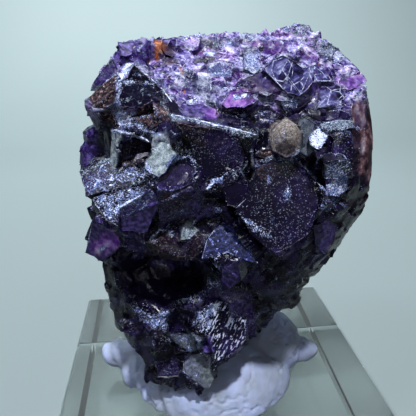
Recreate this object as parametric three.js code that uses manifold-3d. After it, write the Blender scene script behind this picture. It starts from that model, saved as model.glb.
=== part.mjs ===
// Phantom fluorite: a dark violet cube cluster pressed into putty on a clear square block.
// Millimetres, +Z up, +Y away from the viewer. The origin is the centre of the block's underside.
import * as THREE from 'three';
import { mergeVertices } from 'three/addons/utils/BufferGeometryUtils.js';
import Module from 'manifold-3d';

const wasm = await Module();
wasm.setup();

// The clear block is the common 2 x 2 x 1 inch size.
const BLOCK_SIDE = 50.8;
const BLOCK_HEIGHT = 25.4;
const BLOCK_EDGE = 0.6;

// The stone's sections from its foot to its crown: the height of each, how far it reaches to the
// left and right, and where its front and back are.
const SECTIONS = [
  { z: 26.8, left: -9.6, right: -3.0, front: -7.6, back: -1.5 },
  { z: 28.6, left: -11.6, right: -1.0, front: -9.0, back: 2.0 },
  { z: 31.5, left: -13.4, right: 1.8, front: -9.4, back: 5.0 },
  { z: 35.0, left: -15.2, right: 4.2, front: -9.0, back: 8.0 },
  { z: 39.0, left: -16.2, right: 8.4, front: -8.6, back: 10.4 },
  { z: 44.0, left: -16.8, right: 13.2, front: -8.6, back: 12.2 },
  { z: 49.0, left: -17.4, right: 17.6, front: -9.2, back: 13.4 },
  { z: 55.0, left: -17.6, right: 20.4, front: -10.4, back: 14.2 },
  { z: 61.0, left: -17.6, right: 21.0, front: -10.4, back: 14.2 },
  { z: 67.0, left: -16.6, right: 20.8, front: -8.8, back: 13.6 },
  { z: 71.0, left: -15.8, right: 20.0, front: -6.0, back: 12.8 },
  { z: 74.5, left: -14.2, right: 17.4, front: -3.4, back: 11.6 },
  { z: 77.4, left: -12.2, right: 15.8, front: -0.4, back: 10.2 },
  { z: 79.0, left: -9.4, right: 13.4, front: 2.2, back: 8.8 },
];
// The crown climbs to the right.
const CROWN_SLOPE = 0.1;
const CROWN_SLOPE_FROM = 70;
const STONE_MIDDLE_Y = 1.0;
const STONE_DETAIL = 8;
const SECTION_SQUARENESS = 2.7;
const ROUGHNESS = 0.9;
const ROUGHNESS_GRAIN = 5.5;
const CAP_SHARE = 0.42;
const GOLDEN_ANGLE = Math.PI * (3 - Math.sqrt(5));

// Crystals: the size of the face that looks out, how deep the crystal runs into the stone, the
// middle of that face, and how it is turned. Roll is clockwise as seen from the front, lean tips
// the face up to the sky, and swing turns it to the right.
const FRONT_CRYSTALS = {
  'upper left cube': { face: [8.0, 7.4], depth: 7, at: [-10.6, -9.2, 70.2], roll: 52, lean: -6, swing: 6 },
  'brown cube flank': { face: [5.0, 6.0], depth: 5, at: [-13.8, -8.0, 71.0], roll: 52, lean: 4, swing: -14 },
  'crest cube': { face: [9.8, 6.4], depth: 7, at: [-3.0, -12.0, 66.4], roll: 12, lean: -8, swing: 4 },
  'shoulder cube': { face: [11.6, 8.0], depth: 9, at: [-11.4, -11.2, 63.8], roll: -24, lean: 34, swing: -16 },
  'smooth grey facet': { face: [4.6, 5.0], depth: 5, at: [-8.6, -11.6, 66.0], roll: -34, lean: 26, swing: 2 },
  'inner violet block': { face: [6.6, 5.0], depth: 6, at: [-7.4, -12.2, 63.0], roll: -26, lean: 12, swing: 4 },
  'shoulder foot': { face: [5.6, 4.4], depth: 6, at: [-13.2, -11.6, 59.4], roll: -30, lean: -16, swing: -18 },
  'diamond plate': { face: [8.0, 9.6], depth: 8, at: [5.4, -13.4, 60.1], roll: 45, lean: 8, swing: 4 },
  'smooth dark face': { face: [2.8, 3.4], depth: 4, at: [-0.5, -12.6, 62.8], roll: 14, lean: 14, swing: -6 },
  'slate cube': { face: [5.6, 5.6], depth: 6, at: [-0.2, -12.4, 55.0], roll: 45, lean: 40, swing: 0 },
  'middle block': { face: [8.6, 5.6], depth: 7, at: [-5.2, -11.8, 60.4], roll: -8, lean: -16, swing: 4 },
  'brown crystal': { face: [2.9, 4.8], depth: 4, at: [-14.4, -8.6, 68.2], roll: -10, lean: 4, swing: -32 },
  'grey wedge': { face: [1.3, 3.0], depth: 5, at: [-13.0, -11.2, 68.0], roll: 4, lean: 10, swing: -38 },
  'clear shoulder': { face: [4.2, 5.6], depth: 6, at: [-17.0, -3.6, 65.2], roll: 10, lean: 8, swing: -34 },
  'violet chip': { face: [4.6, 5.6], depth: 5, at: [-16.8, -6.2, 53.2], roll: 22, lean: -8, swing: -30 },
  'grey frosted block': { face: [2.8, 4.2], depth: 5, at: [8.1, -11.6, 67.5], roll: 18, lean: 8, swing: 10 },
  'white crystal': { face: [1.7, 1.7], depth: 3, at: [9.3, -12.6, 68.0], roll: 40, lean: 12, swing: 8 },
  'right frosted block': { face: [5.2, 5.6], depth: 7, at: [13.3, -9.6, 65.6], roll: 24, lean: 26, swing: 24 },
  'right lower block': { face: [5.0, 6.4], depth: 7, at: [14.0, -9.6, 60.6], roll: 38, lean: 6, swing: 26 },
  'right blue block': { face: [4.6, 5.0], depth: 6, at: [14.6, -7.8, 54.8], roll: 40, lean: -10, swing: 28 },
  'right rind slab': { face: [4.0, 9.0], depth: 8, at: [18.4, -3.8, 61.6], roll: 4, lean: 2, swing: 48 },
  'right overhang': { face: [7.2, 6.0], depth: 8, at: [8.8, -5.4, 43.3], roll: 4, lean: 0, swing: 24 },
  'under plate block': { face: [7.4, 5.6], depth: 7, at: [8.2, -8.8, 51.6], roll: 34, lean: -22, swing: 14 },
  'brown band block': { face: [5.6, 3.4], depth: 5, at: [-6.6, -10.6, 69.6], roll: 16, lean: 22, swing: -6 },
};

const CROWN_CRYSTALS = {
  'phantom cube': { face: [5.6, 5.8], depth: 6, at: [6.6, -6.4, 72.8], roll: 38, lean: 16, swing: 6 },
  'pink face': { face: [4.4, 3.0], depth: 5, at: [0.7, -7.6, 71.8], roll: -24, lean: 26, swing: -8 },
  'crown ledge': { face: [8.6, 3.6], depth: 5, at: [-3.4, -4.8, 72.6], roll: 6, lean: 44, swing: 0 },
  'crown plate low': { face: [9.4, 3.0], depth: 5, at: [-2.6, -2.2, 75.2], roll: -4, lean: 40, swing: -4 },
  'crown plate high': { face: [10.6, 2.6], depth: 5, at: [1.6, 1.0, 77.6], roll: -6, lean: 36, swing: 6 },
  'crown block': { face: [5.8, 5.0], depth: 6, at: [12.0, -4.6, 72.2], roll: -18, lean: 28, swing: 14 },
  'grey layers low': { face: [6.4, 2.6], depth: 6, at: [11.6, 0.4, 76.2], roll: 10, lean: 30, swing: 8 },
  'grey layers high': { face: [6.2, 2.0], depth: 5, at: [10.4, 2.8, 78.6], roll: 14, lean: 26, swing: 6 },
  'right tip': { face: [4.2, 2.6], depth: 5, at: [17.2, -1.6, 73.0], roll: 16, lean: 18, swing: 30 },
  'right band': { face: [5.4, 3.6], depth: 6, at: [14.9, -6.0, 69.6], roll: -10, lean: 14, swing: 22 },
  'crown top right': { face: [5.0, 2.4], depth: 6, at: [9.8, 1.8, 79.0], roll: 6, lean: 24, swing: 6 },
  'crown shoulder': { face: [6.6, 4.4], depth: 7, at: [13.4, 0.6, 76.4], roll: 38, lean: 26, swing: 14 },
  'crown step': { face: [5.4, 3.6], depth: 7, at: [16.0, 0.2, 73.6], roll: 44, lean: 20, swing: 22 },
  'left back sliver': { face: [3.0, 5.6], depth: 4, at: [-14.0, -1.2, 75.0], roll: 40, lean: 6, swing: -30 },
};

const FOOT_CRYSTALS = {
  'lower left block': { face: [7.0, 5.6], depth: 6, at: [-11.4, -9.2, 42.4], roll: 18, lean: 24, swing: -22 },
  'stepped cube': { face: [3.6, 4.6], depth: 5, at: [-4.2, -10.4, 43.0], roll: -32, lean: 22, swing: 0 },
  'lower right block': { face: [5.6, 6.0], depth: 6, at: [1.3, -9.4, 42.6], roll: 34, lean: 6, swing: 22 },
  'lower right step': { face: [3.8, 4.2], depth: 5, at: [0.4, -9.4, 38.4], roll: 40, lean: 0, swing: 20 },
  'violet pyramid': { face: [2.0, 2.0], depth: 3, at: [-3.3, -10.4, 38.8], roll: 45, lean: 30, swing: 4 },
  'grey tip crystal': { face: [3.6, 4.0], depth: 5, at: [-4.3, -10.0, 33.2], roll: 38, lean: 14, swing: 0 },
  'bottom block': { face: [6.0, 4.0], depth: 6, at: [-9.0, -8.8, 32.2], roll: 14, lean: -14, swing: -10 },
  'left wall slab': { face: [4.0, 9.0], depth: 6, at: [-15.4, -5.2, 43.0], roll: -8, lean: -4, swing: -40 },
};

const BACK_CRYSTALS = {
  'back cube': { face: [9.0, 8.0], depth: 7, at: [6.0, 14.6, 62.0], roll: 20, lean: -6, swing: 172 },
  'back ledge': { face: [11.0, 5.0], depth: 6, at: [-6.0, 14.6, 57.0], roll: -14, lean: 14, swing: 186 },
  'back upper cube': { face: [6.4, 6.4], depth: 6, at: [-7.0, 13.0, 68.0], roll: 38, lean: 16, swing: 194 },
  'back upper block': { face: [7.0, 4.6], depth: 6, at: [8.6, 12.4, 71.6], roll: 8, lean: 24, swing: 168 },
  'back lower cube': { face: [6.8, 6.2], depth: 6, at: [4.0, 13.4, 49.4], roll: 42, lean: -14, swing: 176 },
  'back lower ledge': { face: [8.0, 4.6], depth: 6, at: [-7.6, 11.8, 45.6], roll: -22, lean: -18, swing: 196 },
  'right side cube': { face: [6.0, 6.6], depth: 6, at: [20.6, 5.0, 57.0], roll: 30, lean: -6, swing: 98 },
  'right side ledge': { face: [7.0, 4.0], depth: 5, at: [19.8, 5.6, 67.0], roll: -10, lean: 12, swing: 106 },
  'left side cube': { face: [6.0, 5.6], depth: 6, at: [-17.2, 5.4, 60.0], roll: 36, lean: 2, swing: -98 },
  'left side ledge': { face: [6.6, 4.0], depth: 5, at: [-16.6, 5.8, 49.0], roll: -16, lean: -10, swing: -104 },
};

// Rounded lumps: the middle, the three radii, and how each is turned.
const LUMPS = {
  'grey brown dome': { at: [5.3, -12.6, 67.8], radii: [1.9, 1.7, 2.3], roll: 0 },
  'brown rounded lump': { at: [-7.1, -9.4, 55.1], radii: [4.3, 3.4, 2.7], roll: 6 },
  'purple grey lump': { at: [-12.2, -8.8, 56.6], radii: [2.6, 2.6, 1.7], roll: 14 },
  'glossy top lump': { at: [-11.4, 0.8, 76.4], radii: [2.6, 2.4, 1.9], roll: 10 },
  'brown top lump': { at: [-8.4, 1.0, 76.8], radii: [1.2, 1.2, 1.2], roll: 0 },
};
const LUMP_DETAIL = 2;
const HOLLOW_DETAIL = 3;

// Smaller cubes cover the front and the left flank, each mostly sunk, in a band of heights and
// directions. The right flank is a smooth rind.
const SMALL_CUBES = {
  count: 120,
  side: [1.8, 3.6],
  sunkShare: 0.2,
  heights: [43, 77.5],
  rightmost: 0.45,
  backmost: 0.25,
  seed: 11,
};
// Low flat blocks on the broken back and sides.
const CLEAVAGE_BLOCKS = {
  count: 54,
  side: [3.6, 8.0],
  depth: 4,
  stand: 0.5,
  tilt: 12,
  heights: [44, 76],
  frontmost: 0.05,
  seed: 5,
};
// Thin cleaved plates, stepped up the crown's front slope from the first place to the last.
const PLATES = {
  count: 20,
  width: [3, 8],
  height: [0.7, 1.8],
  depth: 4,
  from: [-10, -4.6, 71.5],
  to: [12, 2.4, 78.6],
  roll: [-14, 12],
  lean: [10, 50],
  swing: [-16, 16],
  seed: 9,
};

// Hollows and pits cut into the stone.
const HOLLOW = { at: [-9.4, -10.2, 48.6], radii: [6.6, 7.2, 4.2], roll: -6 };
const PITS = {
  'dark square pit': { face: [3.6, 2.2], depth: 4, at: [-11.3, -12.2, 67.3], roll: -10, lean: 22, swing: -6 },
  'white crystal cleft': { face: [1.7, 3.2], depth: 4, at: [11.4, -12.6, 66.6], roll: 22, lean: 6, swing: 10 },
  'lower square pit': { face: [3.0, 3.2], depth: 4, at: [-7.4, -12.0, 42.8], roll: -8, lean: 20, swing: -4 },
  'recess over the dome': { face: [3.4, 1.8], depth: 4, at: [9.4, -9.6, 71.2], roll: -34, lean: 10, swing: 6 },
  'diamond plate gap': { face: [1.4, 7.4], depth: 5, at: [1.4, -12.8, 58.0], roll: -45, lean: 0, swing: 0 },
};

const PUTTY_GAP = 0.3;
const PUTTY = { at: [-1.0, 0.4, 24.6], radii: [13.0, 11.8, 8.9] };
const PUTTY_DETAIL = 6;
const PUTTY_PARTS = {
  'right shoulder': { at: [8.2, 3.0, 28.6], radii: [6.2, 6.4, 7.0], roll: -8 },
  'left shoulder': { at: [-10.4, 3.0, 27.6], radii: [5.4, 5.6, 5.4], roll: 10 },
  'left fold': { at: [-11.8, 0.2, 27.4], radii: [4.8, 4.8, 3.6], roll: 8 },
  'left pinched tip': { at: [-15.0, 1.2, 29.4], radii: [4.8, 2.4, 2.4], roll: 14 },
  'right pinched tip': { at: [13.4, 1.6, 27.6], radii: [4.4, 2.2, 2.2], roll: 14 },
};
const PUTTY_ROUGHNESS = 0.7;
const PUTTY_GRAIN = 7.0;
const PUTTY_REACH = 30;

const VIOLET = 0x2a1d4a;
const PUTTY_GREY = 0xb9bdc4;
const CLEAR = 0xdfe9ea;

// A steady stream of pseudo-random values between 0 and 1.
function stream(seed) {
  let state = seed >>> 0;
  return () => {
    state = (Math.imul(state, 1664525) + 1013904223) >>> 0;
    return state / 4294967296;
  };
}

function degrees(angle) {
  return THREE.MathUtils.degToRad(angle);
}

// A steady pseudo-random value for each corner of a grid.
function cornerValue(i, j, k) {
  const wave = Math.sin(i * 127.1 + j * 311.7 + k * 74.7) * 43758.5453;
  return 2 * (wave - Math.floor(wave)) - 1;
}

// Smooth bumps between -1 and 1 whose size is the grain.
function bumps(point, grain) {
  const cell = point.clone().divideScalar(grain);
  const base = cell.clone().floor();
  const part = cell.sub(base);
  const ease = (t) => t * t * (3 - 2 * t);
  let sum = 0;
  for (let corner = 0; corner < 8; corner += 1) {
    const [a, b, c] = [corner & 1, (corner >> 1) & 1, (corner >> 2) & 1];
    const weight =
      (a ? ease(part.x) : 1 - ease(part.x)) *
      (b ? ease(part.y) : 1 - ease(part.y)) *
      (c ? ease(part.z) : 1 - ease(part.z));
    sum += weight * cornerValue(base.x + a, base.y + b, base.z + c);
  }
  return sum;
}

function closedGeometry(geometry) {
  const plain = geometry.clone();
  plain.deleteAttribute('normal');
  plain.deleteAttribute('uv');
  return mergeVertices(plain, 1e-4);
}

function toSolid(geometry) {
  const closed = closedGeometry(geometry);
  return new wasm.Manifold(
    new wasm.Mesh({
      numProp: 3,
      vertProperties: new Float32Array(closed.attributes.position.array),
      triVerts: new Uint32Array(closed.index.array),
    }),
  );
}

function toGeometry(solid) {
  const mesh = solid.getMesh();
  const geometry = new THREE.BufferGeometry();
  geometry.setAttribute('position', new THREE.BufferAttribute(mesh.vertProperties, 3));
  geometry.setIndex(new THREE.BufferAttribute(mesh.triVerts, 1));
  return geometry;
}

function turn({ roll = 0, lean = 0, swing = 0 }) {
  return new THREE.Matrix4().makeRotationFromEuler(
    new THREE.Euler(degrees(-lean), degrees(roll), degrees(swing), 'ZXY'),
  );
}

function warp(geometry, move) {
  const warped = closedGeometry(geometry);
  const position = warped.attributes.position;
  const point = new THREE.Vector3();
  for (let i = 0; i < position.count; i += 1) {
    move(point.fromBufferAttribute(position, i));
    position.setXYZ(i, point.x, point.y, point.z);
  }
  return warped;
}

// A box whose outward face has its middle at the given place. It can be grown on every side.
function crystal(entry, grow = 0) {
  const [width, height] = entry.face;
  const box = new THREE.BoxGeometry(width + 2 * grow, entry.depth + 2 * grow, height + 2 * grow);
  box.translate(0, entry.depth / 2, 0);
  box.applyMatrix4(turn(entry));
  box.translate(...entry.at);
  return toSolid(box);
}

function lump(entry, detail = LUMP_DETAIL) {
  const ball = new THREE.IcosahedronGeometry(1, detail);
  ball.scale(...entry.radii);
  ball.applyMatrix4(turn(entry));
  ball.translate(...entry.at);
  return toSolid(ball);
}

// The section at a height, found between the two nearest rows.
function sectionAt(z) {
  const upper = Math.max(1, SECTIONS.findIndex((row) => row.z >= z));
  const [a, b] = [SECTIONS[upper - 1], SECTIONS[upper]];
  const t = THREE.MathUtils.clamp((z - a.z) / (b.z - a.z), 0, 1);
  const mix = (key) => a[key] + (b[key] - a[key]) * t;
  return { left: mix('left'), right: mix('right'), front: mix('front'), back: mix('back') };
}

// Where a direction from the middle of the stone meets its rough skin.
function skinPoint(direction, grow = 0) {
  const foot = SECTIONS[0].z;
  const crown = SECTIONS[SECTIONS.length - 1].z;
  const polar = Math.acos(THREE.MathUtils.clamp(direction.z, -1, 1)) / Math.PI;
  const z = crown + (foot - crown) * polar;
  const around = Math.atan2(direction.y, direction.x);
  const [c, s] = [Math.cos(around), Math.sin(around)];
  const reach = (Math.abs(c) ** SECTION_SQUARENESS + Math.abs(s) ** SECTION_SQUARENESS)
    ** (-1 / SECTION_SQUARENESS);
  const cap = Math.min(1, Math.hypot(direction.x, direction.y) / CAP_SHARE);
  const row = sectionAt(z);
  const middle = (row.left + row.right) / 2;
  const halfWidth = (row.right - row.left) / 2 + grow;
  const depth = grow + (s < 0 ? STONE_MIDDLE_Y - row.front : row.back - STONE_MIDDLE_Y);
  const point = new THREE.Vector3(
    middle + c * reach * cap * halfWidth,
    STONE_MIDDLE_Y + s * reach * cap * depth,
    z,
  );
  const bump = ROUGHNESS * bumps(point, ROUGHNESS_GRAIN);
  const up = Math.sign(direction.z) * (1 - cap);
  const tilt = CROWN_SLOPE * THREE.MathUtils.smoothstep(z, CROWN_SLOPE_FROM, crown) * point.x;
  return point.add(new THREE.Vector3(c * bump, s * bump, up * (grow + bump) + tilt));
}

// The broken mass that the crystals grew on: a ball stretched to the sections and roughened.
function stoneMass(grow = 0) {
  return toSolid(warp(new THREE.IcosahedronGeometry(1, STONE_DETAIL), (point) => {
    point.copy(skinPoint(point, grow));
  }));
}

// Directions spread evenly all round, like the seeds of a sunflower.
function evenDirections(count) {
  return Array.from({ length: count }, (_, i) => {
    const height = 1 - (2 * (i + 0.5)) / count;
    const flat = Math.sqrt(1 - height * height);
    return new THREE.Vector3(flat * Math.cos(i * GOLDEN_ANGLE), flat * Math.sin(i * GOLDEN_ANGLE), height);
  });
}

function within([low, high], share) {
  return THREE.MathUtils.lerp(low, high, share);
}

function inBand([low, high], value) {
  return value > low && value < high;
}

// Small cubes spread evenly over the skin, each turned at random.
function smallCubes() {
  const random = stream(SMALL_CUBES.seed);
  const cubes = [];
  for (const direction of evenDirections(SMALL_CUBES.count)) {
    const side = within(SMALL_CUBES.side, random() ** 2);
    const cube = new THREE.BoxGeometry(side, side * within([0.8, 1.2], random()), side);
    const turned = new THREE.Euler(...[0, 1, 2].map(() => random() * 2 * Math.PI));
    cube.applyMatrix4(new THREE.Matrix4().makeRotationFromEuler(turned));
    const place = skinPoint(direction);
    place.addScaledVector(direction, -SMALL_CUBES.sunkShare * side);
    cube.translate(place.x, place.y, place.z);
    const onFront = direction.y < SMALL_CUBES.backmost && direction.x < SMALL_CUBES.rightmost;
    if (onFront && inBand(SMALL_CUBES.heights, place.z)) cubes.push(toSolid(cube));
  }
  return cubes;
}

// Low flat blocks that follow the broken back and sides.
function cleavageBlocks() {
  const random = stream(CLEAVAGE_BLOCKS.seed);
  const { tilt } = CLEAVAGE_BLOCKS;
  const blocks = [];
  for (const direction of evenDirections(CLEAVAGE_BLOCKS.count)) {
    const width = within(CLEAVAGE_BLOCKS.side, random());
    const outward = new THREE.Vector3(direction.x, direction.y, 0).normalize();
    const place = skinPoint(direction).addScaledVector(outward, CLEAVAGE_BLOCKS.stand * random());
    const block = crystal({
      face: [width, width * within([0.5, 1], random())],
      depth: CLEAVAGE_BLOCKS.depth,
      at: place.toArray(),
      roll: 360 * random(),
      lean: 45 * direction.z + within([-tilt, tilt], random()),
      swing: THREE.MathUtils.radToDeg(Math.atan2(outward.x, -outward.y)) + within([-tilt, tilt], random()),
    });
    if (direction.y > CLEAVAGE_BLOCKS.frontmost && inBand(CLEAVAGE_BLOCKS.heights, place.z)) {
      blocks.push(block);
    }
  }
  return blocks;
}

// Thin cleaved plates, stepped up the crown's front slope.
function cleavedPlates() {
  const random = stream(PLATES.seed);
  return Array.from({ length: PLATES.count }, (_, i) => {
    const rise = (i + 0.5) / PLATES.count;
    const along = (axis, share) => within([PLATES.from[axis], PLATES.to[axis]], share);
    return crystal({
      face: [within(PLATES.width, random()), within(PLATES.height, random())],
      depth: PLATES.depth,
      at: [along(0, random()), along(1, rise), along(2, rise)],
      roll: within(PLATES.roll, random()),
      lean: within(PLATES.lean, random()),
      swing: within(PLATES.swing, random()),
    });
  });
}

function fluorite() {
  let solid = stoneMass();
  for (const block of cleavageBlocks()) solid = solid.add(block);
  for (const cube of smallCubes()) solid = solid.add(cube);
  for (const entry of Object.values(LUMPS)) solid = solid.add(lump(entry));
  solid = solid.subtract(lump(HOLLOW, HOLLOW_DETAIL));
  for (const plate of cleavedPlates()) solid = solid.add(plate);
  for (const group of [FRONT_CRYSTALS, CROWN_CRYSTALS, FOOT_CRYSTALS, BACK_CRYSTALS]) {
    for (const entry of Object.values(group)) solid = solid.add(crystal(entry));
  }
  for (const entry of Object.values(PITS)) solid = solid.subtract(crystal(entry));
  return solid;
}

function mountingPutty() {
  const rounded = (entry, detail) => {
    const ball = new THREE.IcosahedronGeometry(1, detail);
    ball.scale(...entry.radii);
    ball.applyMatrix4(turn(entry));
    ball.translate(...entry.at);
    return warp(ball, (point) => {
      const bump = PUTTY_ROUGHNESS * bumps(point, PUTTY_GRAIN);
      point.multiplyScalar(1 + bump / PUTTY_REACH);
    });
  };
  let solid = toSolid(rounded(PUTTY, PUTTY_DETAIL));
  for (const part of Object.values(PUTTY_PARTS)) solid = solid.add(toSolid(rounded(part, LUMP_DETAIL)));
  const below = new THREE.BoxGeometry(BLOCK_SIDE, BLOCK_SIDE, BLOCK_HEIGHT);
  below.translate(0, 0, BLOCK_HEIGHT / 2);
  solid = solid.subtract(toSolid(below));
  solid = solid.subtract(stoneMass(PUTTY_GAP));
  for (const entry of Object.values(FOOT_CRYSTALS)) solid = solid.subtract(crystal(entry, PUTTY_GAP));
  return solid;
}

function acrylicBlock() {
  const half = BLOCK_SIDE / 2 - BLOCK_EDGE;
  const square = new THREE.Shape([
    new THREE.Vector2(-half, -half),
    new THREE.Vector2(half, -half),
    new THREE.Vector2(half, half),
    new THREE.Vector2(-half, half),
  ]);
  const block = new THREE.ExtrudeGeometry(square, {
    depth: BLOCK_HEIGHT - 2 * BLOCK_EDGE,
    bevelEnabled: true,
    bevelSegments: 1,
    bevelSize: BLOCK_EDGE,
    bevelThickness: BLOCK_EDGE,
  });
  block.translate(0, 0, BLOCK_EDGE);
  return block;
}

function piece(name, geometry, color, roughness) {
  const mesh = new THREE.Mesh(
    geometry,
    new THREE.MeshStandardMaterial({ color, roughness, metalness: 0, flatShading: true }),
  );
  mesh.name = name;
  return mesh;
}

const specimen = new THREE.Group();
specimen.add(piece('fluorite', toGeometry(fluorite()), VIOLET, 0.35));
specimen.add(piece('mounting_putty', toGeometry(mountingPutty()), PUTTY_GREY, 0.8));
specimen.add(piece('acrylic_block', acrylicBlock(), CLEAR, 0.05));

export default specimen;
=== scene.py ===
"""A dark violet fluorite cluster, pressed into putty on a clear acrylic display block.

The file is laid out as an add-on: each piece has its own operator, and its sizes and colours
are properties. It is run as a script, and works in metres around the packed model.
"""

import math
from functools import partial, reduce
from itertools import product

import bmesh
import bpy
import numpy as np
from mathutils import Euler, Matrix, Vector
from mathutils.bvhtree import BVHTree
from mathutils.kdtree import KDTree


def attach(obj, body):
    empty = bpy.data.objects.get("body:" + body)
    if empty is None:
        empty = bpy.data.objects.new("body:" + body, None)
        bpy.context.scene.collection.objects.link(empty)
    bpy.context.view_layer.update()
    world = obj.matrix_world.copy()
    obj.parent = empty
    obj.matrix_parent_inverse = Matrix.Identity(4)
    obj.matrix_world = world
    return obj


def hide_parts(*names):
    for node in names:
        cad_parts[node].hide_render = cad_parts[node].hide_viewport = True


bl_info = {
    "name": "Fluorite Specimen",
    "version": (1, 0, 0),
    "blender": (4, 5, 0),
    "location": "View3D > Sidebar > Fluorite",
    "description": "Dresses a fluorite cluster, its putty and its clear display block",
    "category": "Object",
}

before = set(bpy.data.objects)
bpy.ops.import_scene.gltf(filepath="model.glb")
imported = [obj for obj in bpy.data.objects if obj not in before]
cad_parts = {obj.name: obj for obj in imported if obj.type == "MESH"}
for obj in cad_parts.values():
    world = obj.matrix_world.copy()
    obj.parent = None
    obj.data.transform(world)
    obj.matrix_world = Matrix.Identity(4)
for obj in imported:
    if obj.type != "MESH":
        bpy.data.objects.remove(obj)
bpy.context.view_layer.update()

MM = 0.001

# The camera stands where the block's edges in the photograph put it. Its frame is 416 x 416.
PHOTO_MIDDLE = 208
FOCAL_PIXELS = 440
CAMERA_PLACE = Vector((-8.43, -59.68, 78.15)) * MM
CAMERA_PITCH = math.radians(20.88)
CAMERA_YAW = math.radians(6.17)
SENSOR_WIDTH = 36.0

# The middle of the stone, near which a place is sought where a ray misses the stone.
STONE_MIDDLE = Vector((0.0, 1.0, 55.0)) * MM

# The finishes that the stone's surface changes between. Where none is, it is clean crystal.
# Frost is bluish white druse, also laid in a few places as a painted highlight, hoar is greyer and
# streaked, the polished finish is stepped with painted glints, glow is lilac crystal painted
# brighter as light shining through it, and the darkest finish is crystal so thick that no light
# comes back, and also painted shade in the hollow, the crevices and the pits.
FINISHES = (
    "frost", "hoar", "brown", "fracture", "slate", "rind", "rust", "glow", "grey", "violet", "phantom",
    "gloss", "black", "tan",
)
COVERS = ("frost", "hoar")

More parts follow.
